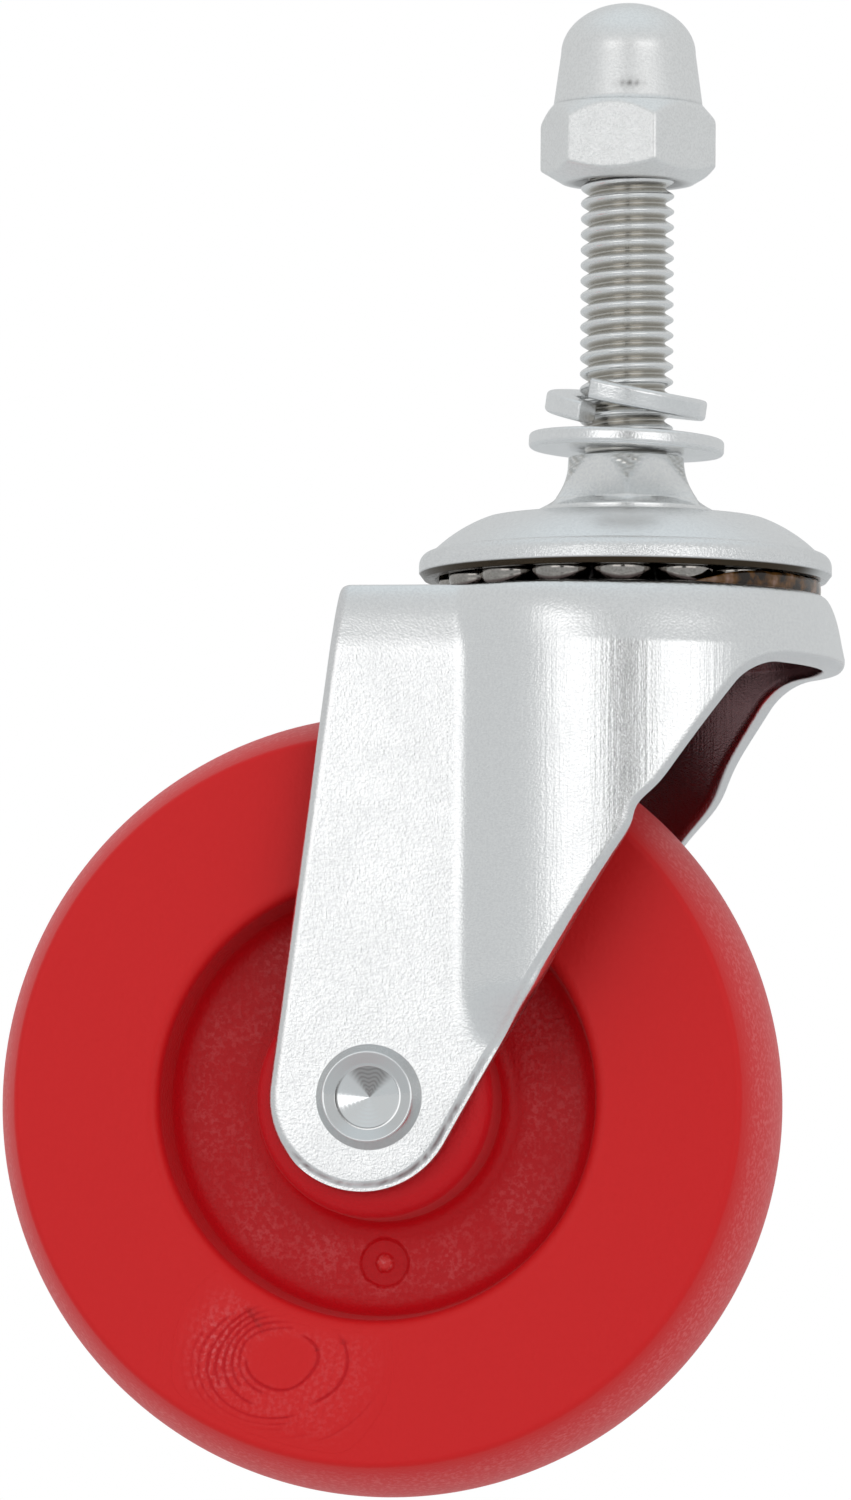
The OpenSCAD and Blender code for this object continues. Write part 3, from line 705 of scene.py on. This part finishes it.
def forkShear(f, path, push, face):
    # sheared edge along a path: rounded over from the outer skin, then square across to the inner one
    quarter = np.linspace(0, np.pi / 2, 9)
    out = np.concatenate([np.sin(quarter), [1.0, 1.0, 0.8, 0.0]])
    deep = np.concatenate([0.8 * (1 - np.cos(quarter)), [1.2, f["sheet"] - 0.2, f["sheet"], f["sheet"]]])
    # along the leg's foot the round gives way to a flat lip, with a dark line in the round: painted shade and
    # painted reflection
    width = np.linalg.norm(push, axis=1)[:, None]
    x, z = path[:, :1], path[:, 2:]
    foot = smoothStep((0.5 * push[:, :1] - push[:, 2:]) / width, 0.1, 0.45) * smoothStep(z, *f["footZ"])
    lip = np.concatenate([0.4 * smoothStep(out[:9], 0.15, 0.6), deep[9:]])
    depth = deep + (lip - deep) * foot
    edge = path[:, None] + push[:, None] * out[:, None] - face[:, None] * depth[..., None]
    # the painted line is ragged, and left out for a short stretch under the rivet
    along = np.arange(len(path))[:, None]
    turn = np.degrees(np.arctan2(z - f["legMid"][1], x - f["legMid"][0])) % 360
    ragged = 0.6 + 0.4 * np.sin(0.37 * along**2 + 5 * out) - 0.6 * bell(turn, *f["cleanTurn"])
    rounded = np.arange(len(out)) < len(quarter)
    shadeLine = foot * bell(out, 0.42, 0.2) * rounded * np.clip(ragged, 0, 1) * smoothStep(z, *f["shadeLineZ"])
    # the rounded edge is a little grey; the square part at the inside takes the inside's painted shade
    rolled = 0.10 + 0.9 * (deep > f["sheet"] - 0.1)
    return edge, np.maximum(0.9 * shadeLine, rolled * (1 - foot * (deep < 1.0)))


def forkHalf(f, side):
    # grids of one half with their masks; columns run from the front round to the rear edge
    sLow, zLow = forkColumns(f, f["roll"], side)
    sOut, zOut = forkColumns(f, 0.0, side)
    outer, normal, tilt = forkWall(f, sLow, zLow)
    inner = outer - normal * f["sheet"]
    # the skin is sunk under the rivet's head, where the rivet is hollow
    fromAxle = np.hypot(outer[..., 0] - f["axle"][0], outer[..., 2] - f["axle"][1])
    deep, *span = f["pocket"]
    outer[..., 1] += deep * smoothStep(fromAxle, *span)
    # the crown's straight rear edge runs from the corner to the middle plane
    corner = outer[-1, -1]
    share = np.linspace(0, 1, f["rearColumns"] + 1)[1:, None]
    rear = corner + share * (np.array([corner[0], 0.0, corner[2]]) - corner)
    crown, under = forkCrown(f, np.concatenate([outer[:, -1], rear]))
    hole = np.stack([crown[:, 0], under[:, 0]], 1)
    # the edge follows the lower edge, the leg's rear edge and the crown's rear edge
    lowIn, lowNormal = outer[:, 0], normal[:, 0]
    lowPush = np.stack([*forkFlat(f, sOut, zOut)[:2], zOut], -1) - lowIn
    lowPush = lowPush - lowNormal * np.einsum("ij,ij->i", lowPush, lowNormal)[:, None]
    lean, lift = math.radians(f["lean"]), np.cos(tilt)
    backward = np.full(len(tilt), -math.cos(lean))
    rearPush = np.stack([backward, 0 * lift, lift * math.sin(lean)], -1) * f["roll"]
    path = np.concatenate([lowIn, outer[-1, 1:], rear])
    push = np.concatenate([lowPush, rearPush[1:], np.broadcast_to(rearPush[-1], rear.shape)])
    face = np.concatenate([lowNormal, normal[-1, 1:], np.broadcast_to((0.0, 0.0, 1.0), rear.shape)])
    # painted shade on the inside, reddened as a painted reflection of the wheel; grease and painted shade on
    # the crown round the race
    paintedShade = [(g, np.ones(g.shape[:2])) for g in (inner, under, hole)]
    amount, *reach = f["greaseAndShade"]
    greaseAndShade = amount * smoothStep(np.hypot(crown[..., 0], crown[..., 1]), *reach)
    shear = forkShear(f, path, push, face)
    grids = [(outer, np.zeros(outer.shape[:2])), paintedShade[0], (crown, greaseAndShade), paintedShade[1], shear, paintedShade[2]]
    return [(g * (1.0, -side, 1.0), m) for g, m in grids]


def makeFork(f):
    # the near half and the far half, which differ in the step of the leg's edge
    halves = forkHalf(f, -1) + forkHalf(f, 1)
    points, quads = stackGrids([(g, False, False) for g, _ in halves])
    shade = np.concatenate([m.ravel() for _, m in halves])
    return makePiece("fork", points, quads, forkZinc, "fork", ["fork"], "zinc", {"shade": shade})


makeFork(forkShape)

# stem: rolled thread, hexagonal neck with arched flats, flange and riveted kingpin in one forging
stemShape = {
    "major": 4.7625, "minor": 3.87, "pitch": 1.5875, "threadLow": 0.5, "threadHigh": 28.9, "phase": -0.386,
    "top": 40.0, "chamfer": 1.0, "cornerCut": 0.95, "cutDeep": 3.6,
    "neckFlat": 5.9, "neckStraight": 0.5, "neckSweep": 7.0, "neckTurn": 7.5, "neckLow": -4.5,
    "flange": 8.85, "flangeIn": 7.2, "flangeLow": -5.37, "capZ": -6.4,
    "pin": 5.0, "pinLow": -21.78, "head": 7.2, "headHigh": 1.8,
    "turns": 144, "rowsPerPitch": 22, "scaly": 0.025,
}


def hexRadius(turns, flat, first):
    # distance from the axis to a hexagon whose flats lie at first plus sixths of a turn
    off = np.mod(turns - np.radians(first) + np.pi / 6, np.pi / 3) - np.pi / 6
    return flat / np.cos(off)


def threadRadius(m, turns, z):
    # right-hand 60 degree thread: a trapezium wave in height less the share of a turn, eased at the run-outs
    wave = np.mod(z / m["pitch"] - turns / (2 * np.pi) + m["phase"], 1.0)
    slope = m["pitch"] / (m["major"] - m["minor"]) * math.tan(math.radians(60))
    rise = 0.5 + 0.06 + slope * (0.25 - np.abs(wave - 0.5))
    rise = 1 - softMin(1 - softMin(rise, 1.0, 0.30), 1.0, 0.22)
    low = smoothStep(z, m["threadLow"], m["threadLow"] + 1.2)
    ease = low * smoothStep(z, m["threadHigh"], m["threadHigh"] - 0.3)
    return m["minor"] + (m["major"] - m["minor"]) * (rise * ease + 0.3 * (1 - ease))


def neckFlats(m, z):
    # half the width across the neck's flats at a height: straight, then swept out on an arc
    below = np.minimum(z + m["neckStraight"], 0.0)
    return m["neckFlat"] + m["neckSweep"] - np.sqrt(np.maximum(m["neckSweep"] ** 2 - below**2, 0))


def neckCone(m, z):
    # radius of the cone that is turned off the neck's corners
    cut = m["cornerCut"] * np.clip(1 + z / m["cutDeep"], 0, 1)
    return neckFlats(m, z) / math.cos(math.pi / 6) - cut + 0.04


def neckRadius(m, turns, z):
    # the lower of the neck's hexagon and its cone, blended where they meet
    hexagon = hexRadius(turns, neckFlats(m, z), m["neckTurn"])
    return softMin(neckCone(m, z), hexagon, 0.16)


def makeStem(m):
    # rows of radius and height by turn: stud end, thread, shoulder, neck, flange, kingpin
    turns = roundTurns(m["turns"])
    stud = [(0, m["top"]), (m["major"] - m["chamfer"], m["top"]), (m["major"], m["top"] - m["chamfer"]),
            (m["major"], m["threadHigh"] + 0.6), (m["minor"] + 0.3, m["threadHigh"] + 0.1)]
    threadZ = np.arange(m["threadHigh"], m["threadLow"], -m["pitch"] / m["rowsPerPitch"])
    thread = [(threadRadius(m, turns, z), z) for z in threadZ]
    edge = neckRadius(m, turns, -0.02)
    shoulder = [(np.minimum(m["minor"] + 0.25, edge), 0.02), (edge - 0.25, 0.02), (edge - 0.08, -0.01)]
    neck = [(neckRadius(m, turns, z), z) for z in np.linspace(-0.07, m["neckLow"], 56)]
    foot = neckRadius(m, turns, m["neckLow"])
    flange = [(np.maximum(m["flangeIn"], foot), m["neckLow"] - 0.03),
              (np.maximum(m["flangeIn"] + 0.1, foot), m["neckLow"] - 0.06),
              (m["flange"] - 0.1, m["flangeLow"] + 0.06), (m["flange"], m["flangeLow"]),
              (m["flange"], m["flangeLow"] - 0.1), (m["flange"], m["capZ"])]
    pin = [(m["pin"], m["capZ"]), (m["pin"], m["pinLow"])]
    dome = [(m["head"] * math.cos(a), m["pinLow"] - m["headHigh"] * math.sin(a))
            for a in np.radians(np.arange(0, 91, 10))]
    r, z = rowGrids(stud + thread + shoulder + neck + flange + pin + dome, turns)
    # the neck's turned corners are scaly: a small rough wave where the cone cuts the hexagon
    hexagon = hexRadius(turns, neckFlats(m, z), m["neckTurn"])
    cut = ((z < -0.1) & (z > m["neckLow"])) * smoothStep(hexagon - neckCone(m, z), 0.0, 0.25)
    scale = np.sin(9.1 * z + 23 * turns) + np.sin(14.3 * z - 31 * turns + 1) + np.sin(27 * turns + 2 + 5 * z)
    r = r + cut * scale * m["scaly"]
    # painted shade darkens the thread's valleys
    valley = np.where(z > m["threadLow"], 1 - smoothStep(r, m["minor"] + 0.1, m["major"] - 0.12), 0)
    shade = np.maximum(valley, cut * (0.45 + 0.25 * np.clip(scale, -1, 1)))
    shell = stackGrids([(polar(r, turns, z), False, True)])
    return makePiece("threadedStem", *shell, threadZinc, "stem", ["threaded_stem"], "zinc", {"shade": shade})


makeStem(stemShape)

# cap nut: hexagon with turned chamfers and a tall dome
nutShape = {
    "foot": 28.15, "flat": 8.0, "height": 7.85, "face": 6.75, "lowSlope": 0.6, "domeFoot": 7.62, "ledge": 0.1,
    "slope": 1.15, "side": 5.4, "taper": 0.75, "top": 5.2, "turn": 24.0, "bore": 4.81, "boreHigh": 12.5,
    "soften": 0.3, "turns": 288,
}


def makeNut(n):
    # radius by turn and row: hexagon cut by a cone at each end, the dome's side, its elliptical top
    turns = roundTurns(n["turns"])
    corner = n["flat"] / math.cos(math.pi / 6)
    hexagon = hexRadius(turns, n["flat"], n["turn"])
    zs = np.linspace(0, n["height"], 70)
    lower = n["face"] + zs / n["lowSlope"]
    upper = n["domeFoot"] + n["ledge"] + (n["height"] - zs) / n["slope"]
    turned = softMin(softMin(lower, upper, 0.3), np.full_like(zs, corner), 0.3)
    sideEnd, topR = n["height"] + n["side"], n["domeFoot"] - n["taper"]
    rows = [(0, n["boreHigh"] + 0.1), (n["bore"], n["boreHigh"]), (n["bore"], 0.7), (n["bore"] + 0.7, 0)]
    rows += [(n["face"] - 0.12, 0)]
    rows += [(softMin(t, hexagon, n["soften"]), z) for t, z in zip(turned, zs)]
    rows += [(n["domeFoot"] - n["taper"] * a, n["height"] + 0.02 + n["side"] * a)
             for a in np.linspace(0, 1, 12)]
    rows += [(topR * math.cos(a), sideEnd + 0.02 + n["top"] * math.sin(a))
             for a in np.radians(np.linspace(3, 90, 30))]
    r, z = rowGrids(rows, turns)
    grid = polar(r, turns, z + n["foot"])
    # flats are flaky; a dark spot lies at the foot of the dome, and the foot is darker round the bore
    midHigh = smoothStep(z, 0.4, 0.8) * smoothStep(z, n["height"], n["height"] - 0.4)
    onFlat = (np.abs(r - hexagon) < 0.02) * midHigh
    darkSpot = bell(turns, 1.5 * np.pi + 0.14, 0.16) * bell(z, n["height"] + 1.5, 0.35)
    darkSpot = darkSpot * (0.6 + 0.4 * np.sin(60 * turns) * np.sin(9 * z)) * (r > 5)
    boreDark = 0.55 * smoothStep(r, 6.2, 5.6) * (z < 2)
    return makePiece("capNut", *stackGrids([(grid, False, True)]), dullZinc, "stem", ["cap_nut"], "dull_zinc",
                     {"shade": np.maximum(darkSpot, boreDark), "coarse": onFlat})


makeNut(nutShape)


def tipped(points, tip, lean, lift):
    # points turned about X by tip, then about Y by lean, then raised
    a, b = math.radians(tip), math.radians(lean)
    turnX = np.array([[1, 0, 0], [0, math.cos(a), -math.sin(a)], [0, math.sin(a), math.cos(a)]])
    turnY = np.array([[math.cos(b), 0, math.sin(b)], [0, 1, 0], [-math.sin(b), 0, math.cos(b)]])
    return points @ (turnY @ turnX).T + np.asarray(lift)


def roundedBox(x0, x1, z0, z1, r, n=5):
    # closed section of a rectangle with round corners
    return chain(arc((x1 - r, z1 - r), r, 90, 0, n), arc((x1 - r, z0 + r), r, 0, -90, n),
                 arc((x0 + r, z0 + r), r, -90, -180, n), arc((x0 + r, z1 - r), r, 180, 90, n))


# lock washer: square wire wound one turn to the left, its ends sprung apart, leaning on the flat washer
lockShape = {"inner": 5.2625, "wire": 2.9, "thick": 2.1, "rise": 2.5, "gap": 5.0, "turn": -117.0, "lean": 9.0,
             "tip": 7.0, "round": 0.42, "steps": 200}


def makeLockWasher(k):
    # the wire's section carried along a left-hand helix, closed by flat ends
    box = roundedBox(k["inner"], k["inner"] + k["wire"], 0, k["thick"], k["round"])
    section = supported(box, closed=True)
    share = np.linspace(0, 1, k["steps"])[:, None]
    turn = np.radians(k["turn"] - (360 - k["gap"]) * share)
    helix = lambda r, z: polar(r, turn, z + k["rise"] * share)
    grid = helix(section[:, 0], section[:, 1])
    core = helix(*section.mean(0)[:, None])
    shrink = np.array([1.0, 0.9, 0.0])[:, None, None]
    ends = [(core[row] + (grid[row] - core[row]) * shrink, False, True) for row in (0, -1)]
    points, quads = stackGrids([(grid, False, True)] + ends)
    points = tipped(points - (0, 0, (k["thick"] + k["rise"]) / 2), k["tip"], k["lean"], (0, 0, 0))
    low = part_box("lock_washer")[0].z / mm
    points[:, 2] += low - points[:, 2].min()
    return makePiece("lockWasher", points, quads, zinc, "stem", ["lock_washer"], "zinc")


makeLockWasher(lockShape)

# flat washer: punched ring with a rolled edge, leaning on the shoulder
washerShape = {"inner": 5.2625, "outer": 9.95, "thick": 1.7, "round": 0.5, "lean": 2.2, "pivot": 5.6625,
               "rest": 0.3, "turns": 160}


def makeFlatWasher(w):
    # a rounded rectangle turned about the stem, then leant about the shoulder's edge
    section = supported(roundedBox(w["inner"], w["outer"], 0, w["thick"], w["round"]), closed=True)
    grid = turnedGrid(section, roundTurns(w["turns"]))
    points, quads = stackGrids([(grid, True, True)])
    points = tipped(points - (w["pivot"], 0, 0), 0, w["lean"], (w["pivot"], 0, w["rest"]))
    return makePiece("flatWasher", points, quads, zinc, "stem", ["flat_washer"], "zinc")


makeFlatWasher(washerShape)

# bearing cap: flat round the flange, dome, straight flare and a level rim over the balls
capShape = {
    **shared, "hole": 5.02, "top": -6.4, "flat": 14.4, "radius": 21.0, "flare": 1.9, "lead": 21.1,
    "slope": 42.3, "line": 19.65, "step": 0.1, "band": 1.35, "low": -11.95, "bevel": (0.5, 0.65),
    "rim": 1.6, "sheet": 2.4,
    "clean": 0.13,      # turn of the right end, in radians, where the underside's grease and painted shade are lighter
    "turns": 300,
}


def makeCap(c):
    # section: flat, dome arc to the line, step, band curving to the rim, bevel, underside with its race
    lead, slope = math.radians(c["lead"]), math.radians(c["slope"])
    dome = (c["radius"] - c["flare"] - c["flat"]) / (math.sin(slope) - math.sin(lead))
    middle = (c["flat"] - dome * math.sin(lead), c["top"] - dome * math.cos(lead))
    over = arc(middle, dome, 90 - c["lead"], 90 - math.degrees(math.asin((c["line"] - middle[0]) / dome)), 30)
    line = over[-1] + (c["step"], -0.02)
    quarter = arc((0, 0), 1.0, 90, 0, 16)
    band = line + np.stack([(c["radius"] - line[0]) * quarter[:, 0], c["band"] * (quarter[:, 1] - 1)], 1)
    out, down = c["bevel"]
    under = arc(middle, dome - c["sheet"], 90 - c["slope"], 90 - c["lead"], 40)
    race = c["raceZ"] + np.sqrt(np.maximum(c["raceFit"] ** 2 - (under[:, 0] - c["raceRadius"]) ** 2, 0))
    inRace = np.abs(under[:, 0] - c["raceRadius"]) < c["raceFit"]
    under[:, 1] = np.where(inRace, np.maximum(under[:, 1], race), under[:, 1])
    section = chain(
        (c["hole"], c["top"]), (c["flat"] - 0.4, c["top"]), over, line - (0.02, 0.05), band,
        (c["radius"], c["low"]), (c["radius"] - 0.12, c["low"] - 0.14), (c["radius"] - out, c["low"] - down),
        (c["radius"] - c["rim"], c["low"] - down), under, (c["hole"], c["top"] - c["sheet"]),
    )
    profile = supported(section, closed=True)
    turns = roundTurns(c["turns"])
    grid = turnedGrid(profile, turns)
    # grease and painted shade darken the underside, less at the right end; a thin dark line marks the step;
    # the band is coarse
    r, z = profile[:, :1], profile[:, 1:]
    top = np.interp(r, over[:, 0], over[:, 1])
    beneath = (z < c["low"] - 0.1) | ((z < top - 0.8) & (r < c["radius"] - c["rim"]))
    groove = (np.abs(r - line[0]) < 0.06) & (z > line[1] - 0.1)
    greaseAndShade = smoothStep(np.abs(np.mod(turns - c["clean"] + np.pi, 2 * np.pi) - np.pi), 0.25, 0.6)
    ones = np.ones_like(turns)
    shade = np.maximum(beneath * (0.25 + 0.75 * greaseAndShade), 0.85 * groove * ones)
    coarse = ((r > line[0] - 0.01) & ~beneath) * ones
    shell, masks = stackGrids([(grid, True, True)]), {"shade": shade, "coarse": coarse}
    return makePiece("bearingCap", *shell, capZinc, "stem", ["bearing_cap"], "zinc", masks)


makeCap(capShape)

# axle rivet: a rolled head with a turned cone at each end
rivetShape = {
    **shared, "shank": 4.0, "head": 5.3, "crest": 4.45, "high": 1.6, "mouth": 3.35, "lip": 0.9, "cone": 3.1,
    "coneDeep": 1.35, "ring": 0.004, "ringStep": 0.42, "turns": 200,
}


def makeRivet(v):
    # half section, mirrored and turned about the axle: ringed cone, lip, hollow slope, crest, slope, shank
    leg, crest, head = v["legY"], v["crest"], v["head"]
    end = leg + v["high"]
    mouth = end - v["lip"]
    cone = np.stack([np.linspace(0, v["cone"], 90), np.linspace(mouth - v["coneDeep"], mouth, 90)], 1)
    cone[:, 1] += v["ring"] * np.sin(2 * np.pi * cone[:, 0] / v["ringStep"]) * (cone[:, 0] > 0.3)
    half = chain(
        cone, (v["cone"] + 0.06, mouth + 0.12), (v["mouth"], mouth + 0.14),
        (crest - 0.12, end - 0.06), (crest - 0.05, end), (crest + 0.05, end), (crest + 0.12, end - 0.07),
        (head - 0.1, leg + 0.42), (head, leg + 0.25), (head, leg), (v["shank"], leg),
    )
    half = supported(half, 0.03)
    section = chain(half, (half * (1, -1))[::-1])
    turns = roundTurns(v["turns"])
    points, quads = stackGrids([(turnedGrid(section, turns), False, True)])
    points = np.stack([points[:, 0] + v["axle"][0], points[:, 2], points[:, 1] + v["axle"][1]], 1)
    # painted shade on both sloped faces and under the head where it meets the leg; the cone's upper side is
    # darkened in rings as a painted reflection, and one side of the corner round it as painted shade
    r, y = section[:, :1], section[:, 1:]
    slopeShade = 0.3 * (r > crest + 0.08) + 0.2 * ((r > v["cone"] + 0.03) & (r < crest - 0.1))
    paintedShade = np.where((np.abs(y) < leg + 0.1) & (r > 4.5), 0.7, slopeShade)
    rings = 0.68 - 0.1 * np.sin(2 * np.pi * r / v["ringStep"] + 2 * np.sin(9 * turns))
    upper = smoothStep(np.sin(turns + 0.1), 0.6, 0.92) * (r < v["cone"]) * rings
    corner = 0.8 * bell(r, v["cone"] + 0.05, 0.06) * smoothStep(-np.sin(turns) - np.cos(turns), -0.3, 0.6)
    shade = np.maximum(paintedShade, np.maximum(upper, corner))
    return makePiece("axleRivet", points, quads, rivetZinc, "fork", ["axle_rivet"], "zinc", {"shade": shade})


makeRivet(rivetShape)

# upper balls: one row of bright steel balls between the cap and the crown, darkened for grease and as a
# painted reflection of the dark gap
ballShape = {**shared, "radius": 3.0, "first": -84.5, "rings": 24, "turns": 40}


def makeBalls(b):
    # spheres on a grid of height angle and turn, one copy for each place round the race
    nodes = [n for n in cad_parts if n.startswith("upper_ball_")]
    rise = np.radians(np.linspace(-90, 90, b["rings"]))[:, None]
    one = b["radius"] * polar(np.cos(rise), roundTurns(b["turns"]), np.sin(rise))
    places = np.radians(b["first"]) + 2 * np.pi * np.arange(len(nodes)) / len(nodes)
    grids = [(one + c, False, True) for c in polar(b["raceRadius"], places, b["raceZ"])]
    return makePiece("upperBalls", *stackGrids(grids), ballSteel, "upper_balls", nodes, "ball_steel")


makeBalls(ballShape)

# grease: squeezed out of the race on the front right, lying on the crown
greaseShape = {"inner": 19.04, "outer": 19.92, "low": -14.36, "high": -12.62, "from": -64.0, "to": 40.0,
               "taper": 26.0, "lump": 0.05, "square": 0.7, "steps": 300, "turns": 28}


def makeGrease(g):
    # a lumpy strand: an upright squarish oval carried round the race, drawn to a point at each end
    share = np.linspace(g["from"], g["to"], g["steps"])[:, None]
    turn, around = np.radians(share), roundTurns(g["turns"])
    start = smoothStep(share, g["from"], g["from"] + g["taper"])
    ends = np.sqrt(start * smoothStep(share, g["to"], g["to"] - g["taper"] / 3))
    lump = np.sin(17 * turn) + np.sin(31 * turn + 1) + np.sin(53 * turn + 2 + around)
    wide = (g["outer"] - g["inner"]) / 2 * ends
    tall = (g["high"] - g["low"]) / 2 * ends * (1 - g["lump"] * (1 + lump / 3))
    square = lambda a: np.sign(a) * np.abs(a) ** g["square"]
    waves = 1 - g["lump"] * (1 + np.sin(23 * turn + 2 * around)) / 2
    r = (g["outer"] + g["inner"]) / 2 + wide * square(np.cos(around)) * waves
    z = g["low"] + tall * (1 + square(np.sin(around)))
    return makePiece("grease", *stackGrids([(polar(r, turn, z), False, True)]), grease, "fork")


makeGrease(greaseShape)
print("metal pieces made")

# studio: white behind the castor, even pale surroundings, and two soft boxes either side of the camera
studio = {
    "floorZ": -0.14, "floorHalf": 3.0,
    "middle": (0.63, 0.645, 0.65),
    # from and to in degrees of elevation, and the colour there
    "fades": [(35.0, 75.0, (0.70, 0.75, 0.775)), (-15.0, -50.0, (0.42, 0.42, 0.42))],
    # from and to in degrees round from the front, and softness
    "boxes": [(-34.0, -1.0, 8.0), (16.0, 54.0, 9.0)], "boxStrength": 1.41,
    "gapSpan": (1.0, 15.0, 5.0), "gap": 0.08,       # the dark camera between the boxes
    "level": (-22.0, 19.0, 7.0),    # from and to in degrees of elevation for the boxes and the gap, softness
}


def makeSurroundings(s):
    # a colour by direction: azimuth and elevation in degrees pick out the boxes; the camera itself sees white
    world = bpy.data.worlds.new("studioWhite")
    world.use_nodes = True
    tree = world.node_tree
    link = tree.links.new
    axes = addNode(tree, "ShaderNodeSeparateXYZ")
    link(addNode(tree, "ShaderNodeTexCoord").outputs["Generated"], axes.inputs[0])
    front = mathNode(tree, "MULTIPLY", axes.outputs["Y"], -1.0)
    azimuth = mathNode(tree, "DEGREES", mathNode(tree, "ARCTAN2", axes.outputs["X"], front))
    elevation = mathNode(tree, "DEGREES", mathNode(tree, "ARCSINE", axes.outputs["Z"]))
    colour = s["middle"]
    for start, stop, tone in s["fades"]:
        colour = mixColour(tree, eased(tree, elevation, start, stop), colour, tone)
    level = softBand(tree, elevation, *s["level"])
    dark = softBand(tree, azimuth, *s["gapSpan"])
    lit = mathNode(tree, "MAXIMUM", *(softBand(tree, azimuth, *box) for box in s["boxes"]))
    for span, grey in ((dark, s["gap"]), (lit, s["boxStrength"])):
        colour = mixColour(tree, mathNode(tree, "MULTIPLY", span, level), colour, (grey, grey, grey))
    soft = tree.nodes["Background"]
    link(colour, soft.inputs["Color"])
    white = addNode(tree, "ShaderNodeBackground", Color=(1, 1, 1, 1), Strength=1.0)
    mix = addNode(tree, "ShaderNodeMixShader")
    link(addNode(tree, "ShaderNodeLightPath").outputs["Is Camera Ray"], mix.inputs[0])
    link(soft.outputs[0], mix.inputs[1])
    link(white.outputs[0], mix.inputs[2])
    link(mix.outputs[0], tree.nodes["World Output"].inputs["Surface"])
    scene.world = world
    scene.view_settings.view_transform = "Standard"


def makeFloor(s):
    # a plain pale square below the wheel
    half, z = s["floorHalf"], s["floorZ"]
    mesh = bpy.data.meshes.new("floor")
    corners = [(-half, -half, z), (half, -half, z), (half, half, z), (-half, half, z)]
    mesh.from_pydata(corners, [], [(0, 1, 2, 3)])
    pale = bpy.data.materials.new("paleFloor")
    pale.use_nodes = True
    skin = pale.node_tree.nodes["Principled BSDF"]
    skin.inputs["Base Color"].default_value = (0.86, 0.86, 0.86, 1)
    skin.inputs["Roughness"].default_value = 0.9
    mesh.materials.append(pale)
    floor = bpy.data.objects.new("floor", mesh)
    scene.collection.objects.link(floor)


makeSurroundings(studio)
makeFloor(studio)
print("studio made")

# pieces of the frame that show as they are get their finish here
for node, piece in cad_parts.items():
    finish = ballSteel if "ball" in node else dullZinc if node in ("cap_nut", "axle_sleeve") else zinc
    if piece.data.materials:
        piece.data.materials[0] = finish
    else:
        piece.data.materials.append(finish)
